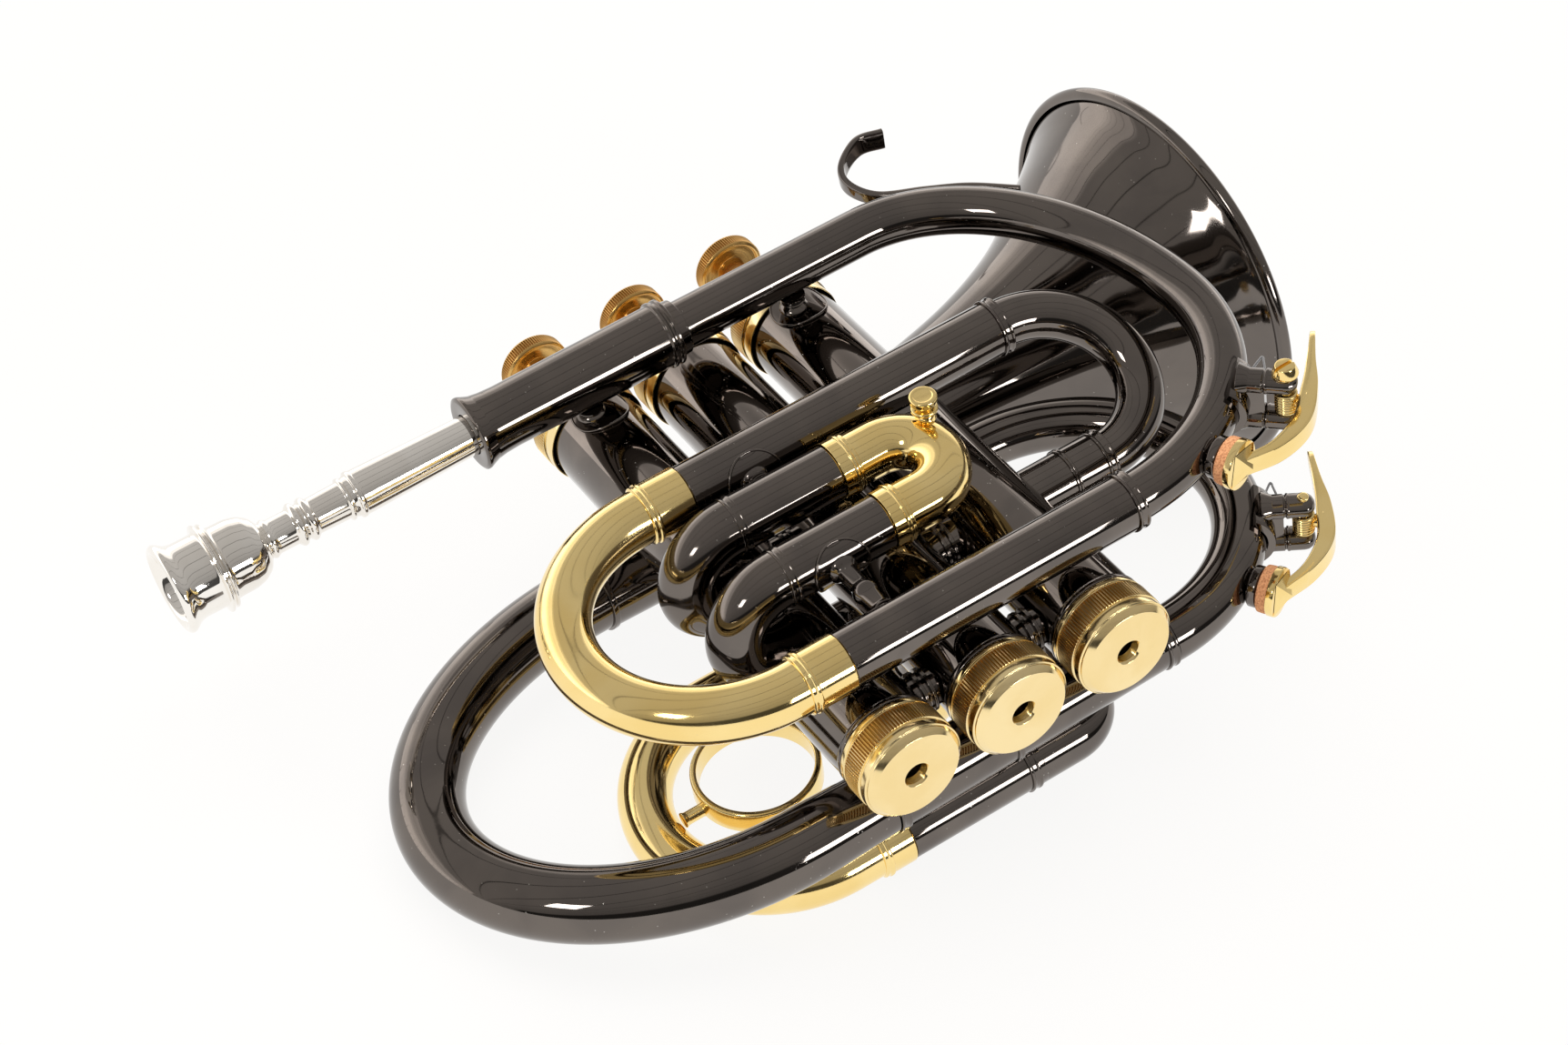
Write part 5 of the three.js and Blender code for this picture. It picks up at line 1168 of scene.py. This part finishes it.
def make_water_key(key, number):
    w = KEY
    body = f"water_key_{number}"
    seat = key.seat
    hinge = key.hinge
    lug_middle = w.barrel_width / 2 + GAP + w.lug_width / 2

    # Saddle: a curved foot on the bow and two arms that end in rounded eyes
    bm = bmesh.new()
    foot_radius = key.radius + GAP
    steps = 20
    spread = math.radians(62)
    sheet = []
    for lift in (-0.4, w.foot_wall):
        for i in range(steps + 1):
            turn = -spread + 2 * spread * i / steps
            sheet.append((lift, turn))
    section = [
        ((foot_radius + lift) * math.sin(turn), (foot_radius + lift) * math.cos(turn))
        for lift, turn in [*sheet[:steps + 1], *reversed(sheet[steps + 1:])]
    ]
    reach = [-w.foot_half, -w.foot_half + 0.5, w.foot_half - 0.5, w.foot_half]
    points = [seat.at + seat.along * r for r in reach]
    taper = [(0.93, 0.985), (1, 1), (1, 1), (0.93, 0.985)]
    sweep(bm, points, taper, LEFT, section=[(u, -v) for u, v in section])
    for side in (-1, 1):
        base = seat.at + LEFT * side * lug_middle
        start = key.radius - 1.4
        end = w.hinge_reach
        middle = (start + end) / 2 + 0.6
        r = w.lug
        arm = [
            (0, start), (r + 1.1, start), (r + 0.35, start + 1.6), (r, start + 2.4), (r, middle - 0.35), (r - 0.3, middle - 0.2),
            (r - 0.3, middle + 0.1), (r + 0.12, middle + 0.25), (r + 0.12, middle + 0.7), (r, middle + 0.9), (r, end),
            (r * 0.94, end + 1), (r * 0.72, end + 1.9), (r * 0.35, end + 2.5), (0, end + 2.6),
        ]
        bend_in = w.lug_width / 2 / r
        made = revolve(bm, eased(arm, 0.2), place(base, seat.out), 48)
        for vert in made:
            away = vert.co - base
            shift = away.dot(LEFT)
            vert.co -= LEFT * shift * (1 - bend_in) * 0.8
    low = key.radius - 0.6
    high = w.hinge_reach - 4.4
    rib = [(low, -2.4), (low, 2.4), (high, 1.3), (high, -1.3)]
    ends = [seat.at - LEFT * lug_middle, seat.at + LEFT * lug_middle]
    sweep(bm, ends, [(1, 1), (1, 1)], seat.out, section=rib)
    black(bm, f"water_key_bracket_{number}", [f"water_key_saddle_{number}"])

    # Hinge screw; on the first key it has a slotted head on the right side
    bm = bmesh.new()
    face = lug_middle + w.lug_width / 2
    head = face + GAP
    r = w.head
    shank = [(0, -face + 0.2), (w.pin, -face + 0.2)]
    if number == 1:
        profile = [*shank, (w.pin, head - 0.2), (r - 0.3, head - 0.2), (r, head + 0.1), (r, head + 0.5),
                   (r * 0.74, head + w.head_height), (0, head + w.head_height + 0.15)]
    else:
        profile = [*shank, (w.pin, head + 0.25), (w.pin - 0.4, head + 0.5), (0, head + 0.6)]
    revolve(bm, eased(profile, 0.2), place(hinge, -LEFT), 64)
    bmesh.ops.remove_doubles(bm, verts=bm.verts, dist=0.002)
    if number == 1:
        cut_slot(bm, hinge, (seat.along - seat.out * 1.1).normalized(), head + w.head_height - 0.9)
    finish(bm, f"water_key_hinge_screw_{number}", "horn", BRASS, [f"water_key_screw_{number}"], sharp=25)

    # Lever: a bowed plate from the cup, round the outside of the hinge, to its finger tip
    bm = bmesh.new()
    nipple = key.nipple
    cork_low = key.top + nipple.out * GAP
    cork_top = cork_low + nipple.out * w.cork_thickness
    cup_in = cork_top + nipple.out * GAP
    cup_top = cup_in + nipple.out * w.cup_floor
    run = smooth_run([
        cup_top + nipple.out * 0.2,
        *[hinge + seat.along * (a * w.lever_reach) + seat.out * (o * w.lever_reach) for a, o in LEVER_SHARES],
    ], 10)
    count = len(run)
    sizes = []
    for i in range(count):
        share = i / (count - 1)
        wide = w.tip_width + (w.lever_width - w.tip_width) * math.sin(math.pi * (1 + 3 * share) / 4)
        thick = w.lever_thickness * (1 + 1.1 * math.sin(math.pi * min(1, share * 1.1)) ** 2 - 0.45 * share ** 6)
        tip = math.sqrt(max(1 - (max(share - 0.93, 0) / 0.075) ** 2, 0.1))
        sizes.append((wide / 2 * tip, thick / 2))
    corner = 0.3
    flat = []
    for u, v in ((1, 1), (-1, 1), (-1, -1), (1, -1)):
        for i in range(4):
            turn = math.atan2(v, u) - math.pi / 4 + math.pi / 2 * i / 3
            flat.append((u * (1 - corner / 3) + corner / 3 * math.cos(turn), v * (1 - corner) + corner * math.sin(turn)))
    sweep(bm, run, sizes, LEFT, section=flat)
    stand = place(hinge - LEFT * w.barrel_width / 2, LEFT)
    coils = []
    for i in range(7):
        z = w.barrel_width * (i + 0.5) / 7
        coils += [(w.barrel - 0.35, z - 0.37), (w.barrel, z - 0.12), (w.barrel, z + 0.12)]
    revolve(bm, eased([(0, 0), (w.barrel - 0.35, 0), *coils, (w.barrel - 0.35, w.barrel_width), (0, w.barrel_width)], 0.12), stand, 48)
    web = hinge + seat.out * (LEVER_SHARES[1][1] * w.lever_reach)
    sweep(bm, [hinge, hinge.lerp(web, 0.5), web], [(1.6, 1.6), (1.3, 1.3), (2.4, 2.4)], LEFT, 24)
    peak = place(cup_top, -nipple.out)
    cup = [
        (0, 0.2), (w.cup, 0.2), (w.cup + 0.15, 0.5), (w.cup + 0.15, w.cup_depth), (w.cup - 0.2, w.cup_depth + 0.1),
        (0, w.cup_depth + 0.1),
    ]
    revolve(bm, eased(cup, 0.12), peak, 48)
    bmesh.ops.create_cone(
        bm, cap_ends=True, segments=4, radius1=w.cup + 0.1, radius2=0.05, depth=2.4,
        matrix=peak @ Matrix.Translation((0, 0, -1.1)) @ Matrix.Rotation(math.pi, 4, "X") @ Matrix.Rotation(0.5, 4, "Z"),
    )
    finish(bm, f"water_key_arm_{number}", body, BRASS, [f"water_key_lever_{number}"], sharp=22)

    bm = bmesh.new()
    pad = [(0, 0), (w.cork, 0), (w.cork + 0.12, w.cork_thickness / 2), (w.cork, w.cork_thickness), (0, w.cork_thickness)]
    revolve(bm, eased(pad, 0.25), place(cork_low, nipple.out), 48)
    finish(bm, f"water_key_pad_{number}", body, CORK, [f"water_key_cork_{number}"])

    # Spring wire: coils round the hinge and a loop that stands up beyond the arm
    bm = bmesh.new()
    foot = hinge - seat.out * 5.6 - LEFT * 2
    shape = [
        (-0.9, 1), (-1, 2.2), (-2.9, 5), (-2.9, 5.7), (-1.3, 10.2), (-0.8, 10.3), (-0.6, 9.4), (0.1, 6.7), (0, 6),
        (-0.8, 3.4),
    ]
    wire = smooth_run([foot + seat.out * a + seat.along * b for a, b in shape], 6)
    sweep(bm, wire, [0.27] * len(wire), LEFT, 12)
    finish(bm, f"water_key_spring_{number}", "horn", STEEL)


# Camera, light and floor

def make_camera():
    """The photograph's view, in the instrument's own axes."""
    eye = at(-243.8, -542.7, -420.2)
    right = at(0.8364, 0.1279, -0.533)
    down = at(-0.4564, 0.7012, -0.5478)
    ahead = at(0.3037, 0.7014, 0.6448)
    turn = LAY.to_3x3().normalized()
    columns = (turn @ right, turn @ -down, turn @ -ahead)
    data = bpy.data.cameras.new("camera")
    data.sensor_fit = "HORIZONTAL"
    data.sensor_width = 36
    data.lens = 3893 / 1724 * 36
    data.clip_start = 0.01
    data.clip_end = 50
    camera = bpy.data.objects.new("camera", data)
    bpy.context.scene.collection.objects.link(camera)
    camera.matrix_world = Matrix.Translation(LAY @ eye) @ Matrix(columns).transposed().to_4x4()
    bpy.context.scene.camera = camera


def make_lamp(name, position, target, width, height, power, colour=(1, 1, 1), mirrored=True):
    data = bpy.data.lights.new(name, "AREA")
    data.shape = "RECTANGLE"
    data.size = width
    data.size_y = height
    data.energy = power
    data.color = colour
    lamp = bpy.data.objects.new(name, data)
    lamp.visible_glossy = mirrored
    bpy.context.scene.collection.objects.link(lamp)
    aim = Vector(target) - Vector(position)
    lamp.matrix_world = Matrix.Translation(position) @ aim.to_track_quat("-Z", "Y").to_matrix().to_4x4()


def make_lights():
    make_lamp("overhead", (0.0, 0.4, 2.2), (0, 0, 0), 2.6, 2.2, 40, (1, 0.985, 0.96), False)
    make_lamp("low window", (0.62, -2.1, 0.68), (0, 0, 0.15), 0.9, 0.46, 17)
    make_lamp("left window", (-1.75, -0.7, 1.15), (0, 0, 0.05), 0.4, 0.38, 6)


def make_world():
    world = bpy.data.worlds.new("studio")
    bpy.context.scene.world = world
    world.use_nodes = True
    tree = world.node_tree
    sky = tree.nodes["Background"]
    direction = node(tree, "ShaderNodeTexCoord")
    parts = node(tree, "ShaderNodeSeparateXYZ")
    link(tree, direction.outputs["Generated"], parts.inputs[0])
    height = math_node(tree, "MAXIMUM", parts.outputs["Z"], 0.08)
    slant = math_node(tree, "DIVIDE", parts.outputs["Y"], height)
    near = ramp(tree, slant, -3.4, -2.4)
    slope = ramp(tree, slant, -2.4, 1.3)
    wall = ramp(tree, slant, 1.3, 1.6)
    far = ramp(tree, slant, 1.8, 4.5)
    panel = math_node(tree, "FRACT", math_node(tree, "DIVIDE", math_node(tree, "ADD", slant, 0.07), 0.52))
    edge = math_node(tree, "ABSOLUTE", math_node(tree, "SUBTRACT", panel, 0.5))
    seam = math_node(tree, "MULTIPLY", ramp(tree, edge, 0.465, 0.49), 0.75)
    level = math_node(tree, "ADD", math_node(tree, "MULTIPLY", near, 0.27), 0.06)
    level = math_node(tree, "ADD", level, math_node(tree, "MULTIPLY", slope, 0.2))
    level = math_node(tree, "ADD", level, math_node(tree, "MULTIPLY", wall, 0.6))
    level = math_node(tree, "ADD", level, math_node(tree, "MULTIPLY", far, 1.0))
    level = math_node(tree, "MULTIPLY", level, math_node(tree, "SUBTRACT", 1, seam))
    sky.inputs["Color"].default_value = (1, 0.965, 0.93, 1)
    link(tree, level, sky.inputs["Strength"])


def make_floor():
    bm = bmesh.new()
    bmesh.ops.create_circle(bm, cap_ends=True, segments=96, radius=6)
    mesh = bpy.data.meshes.new("floor")
    bm.to_mesh(mesh)
    bm.free()
    floor = bpy.data.objects.new("floor", mesh)
    bpy.context.scene.collection.objects.link(floor)
    material = bpy.data.materials.new("white paper")
    material.use_nodes = True
    tree = material.node_tree
    paper = tree.nodes["Principled BSDF"]
    paper.inputs["Base Color"].default_value = (0.93, 0.905, 0.88, 1)
    paper.inputs["Roughness"].default_value = 0.8
    paper.inputs["Specular IOR Level"].default_value = 0
    glow = node(tree, "ShaderNodeEmission")
    glow.inputs["Color"].default_value = (1, 0.995, 0.985, 1)
    path = node(tree, "ShaderNodeLightPath")
    seen = math_node(tree, "MAXIMUM", path.outputs["Is Camera Ray"], path.outputs["Is Glossy Ray"])
    seen = math_node(tree, "MAXIMUM", seen, path.outputs["Is Transmission Ray"])
    mix = node(tree, "ShaderNodeMixShader")
    link(tree, math_node(tree, "MULTIPLY", seen, 0.9), mix.inputs["Fac"])
    link(tree, paper.outputs["BSDF"], mix.inputs[1])
    link(tree, glow.outputs["Emission"], mix.inputs[2])
    link(tree, mix.outputs[0], tree.nodes["Material Output"].inputs["Surface"])
    mesh.materials.append(material)


def dress_springs():
    """The valve springs are sealed in their casings and keep their own solids."""
    for k in range(3):
        spring = frame["nodes"][f"valve_spring_{k + 1}"]
        spring.data.materials.clear()
        spring.data.materials.append(STEEL)


for valve in range(3):
    make_casing(valve)
    make_bottom_cap(valve)
    make_top_cap(valve)
    make_button(valve)
    make_piston(valve)
make_knuckles()
make_receiver()
make_leadpipe()
make_tuning_tubes()
make_tuning_slide()
make_entry()
make_first_tubes()
make_first_slide()
make_braces()
make_hook()
make_bell()
make_tail()
make_lower_run()
make_front_bow()
make_return_tube()
make_second_slide()
make_third_slide()
make_finger_ring()
make_mouthpiece()
make_water_key(LEAD_KEY, 1)
make_water_key(FRONT_KEY, 2)
dress_springs()

make_camera()
make_lights()
make_world()
make_floor()
bpy.context.scene.view_settings.view_transform = "Standard"
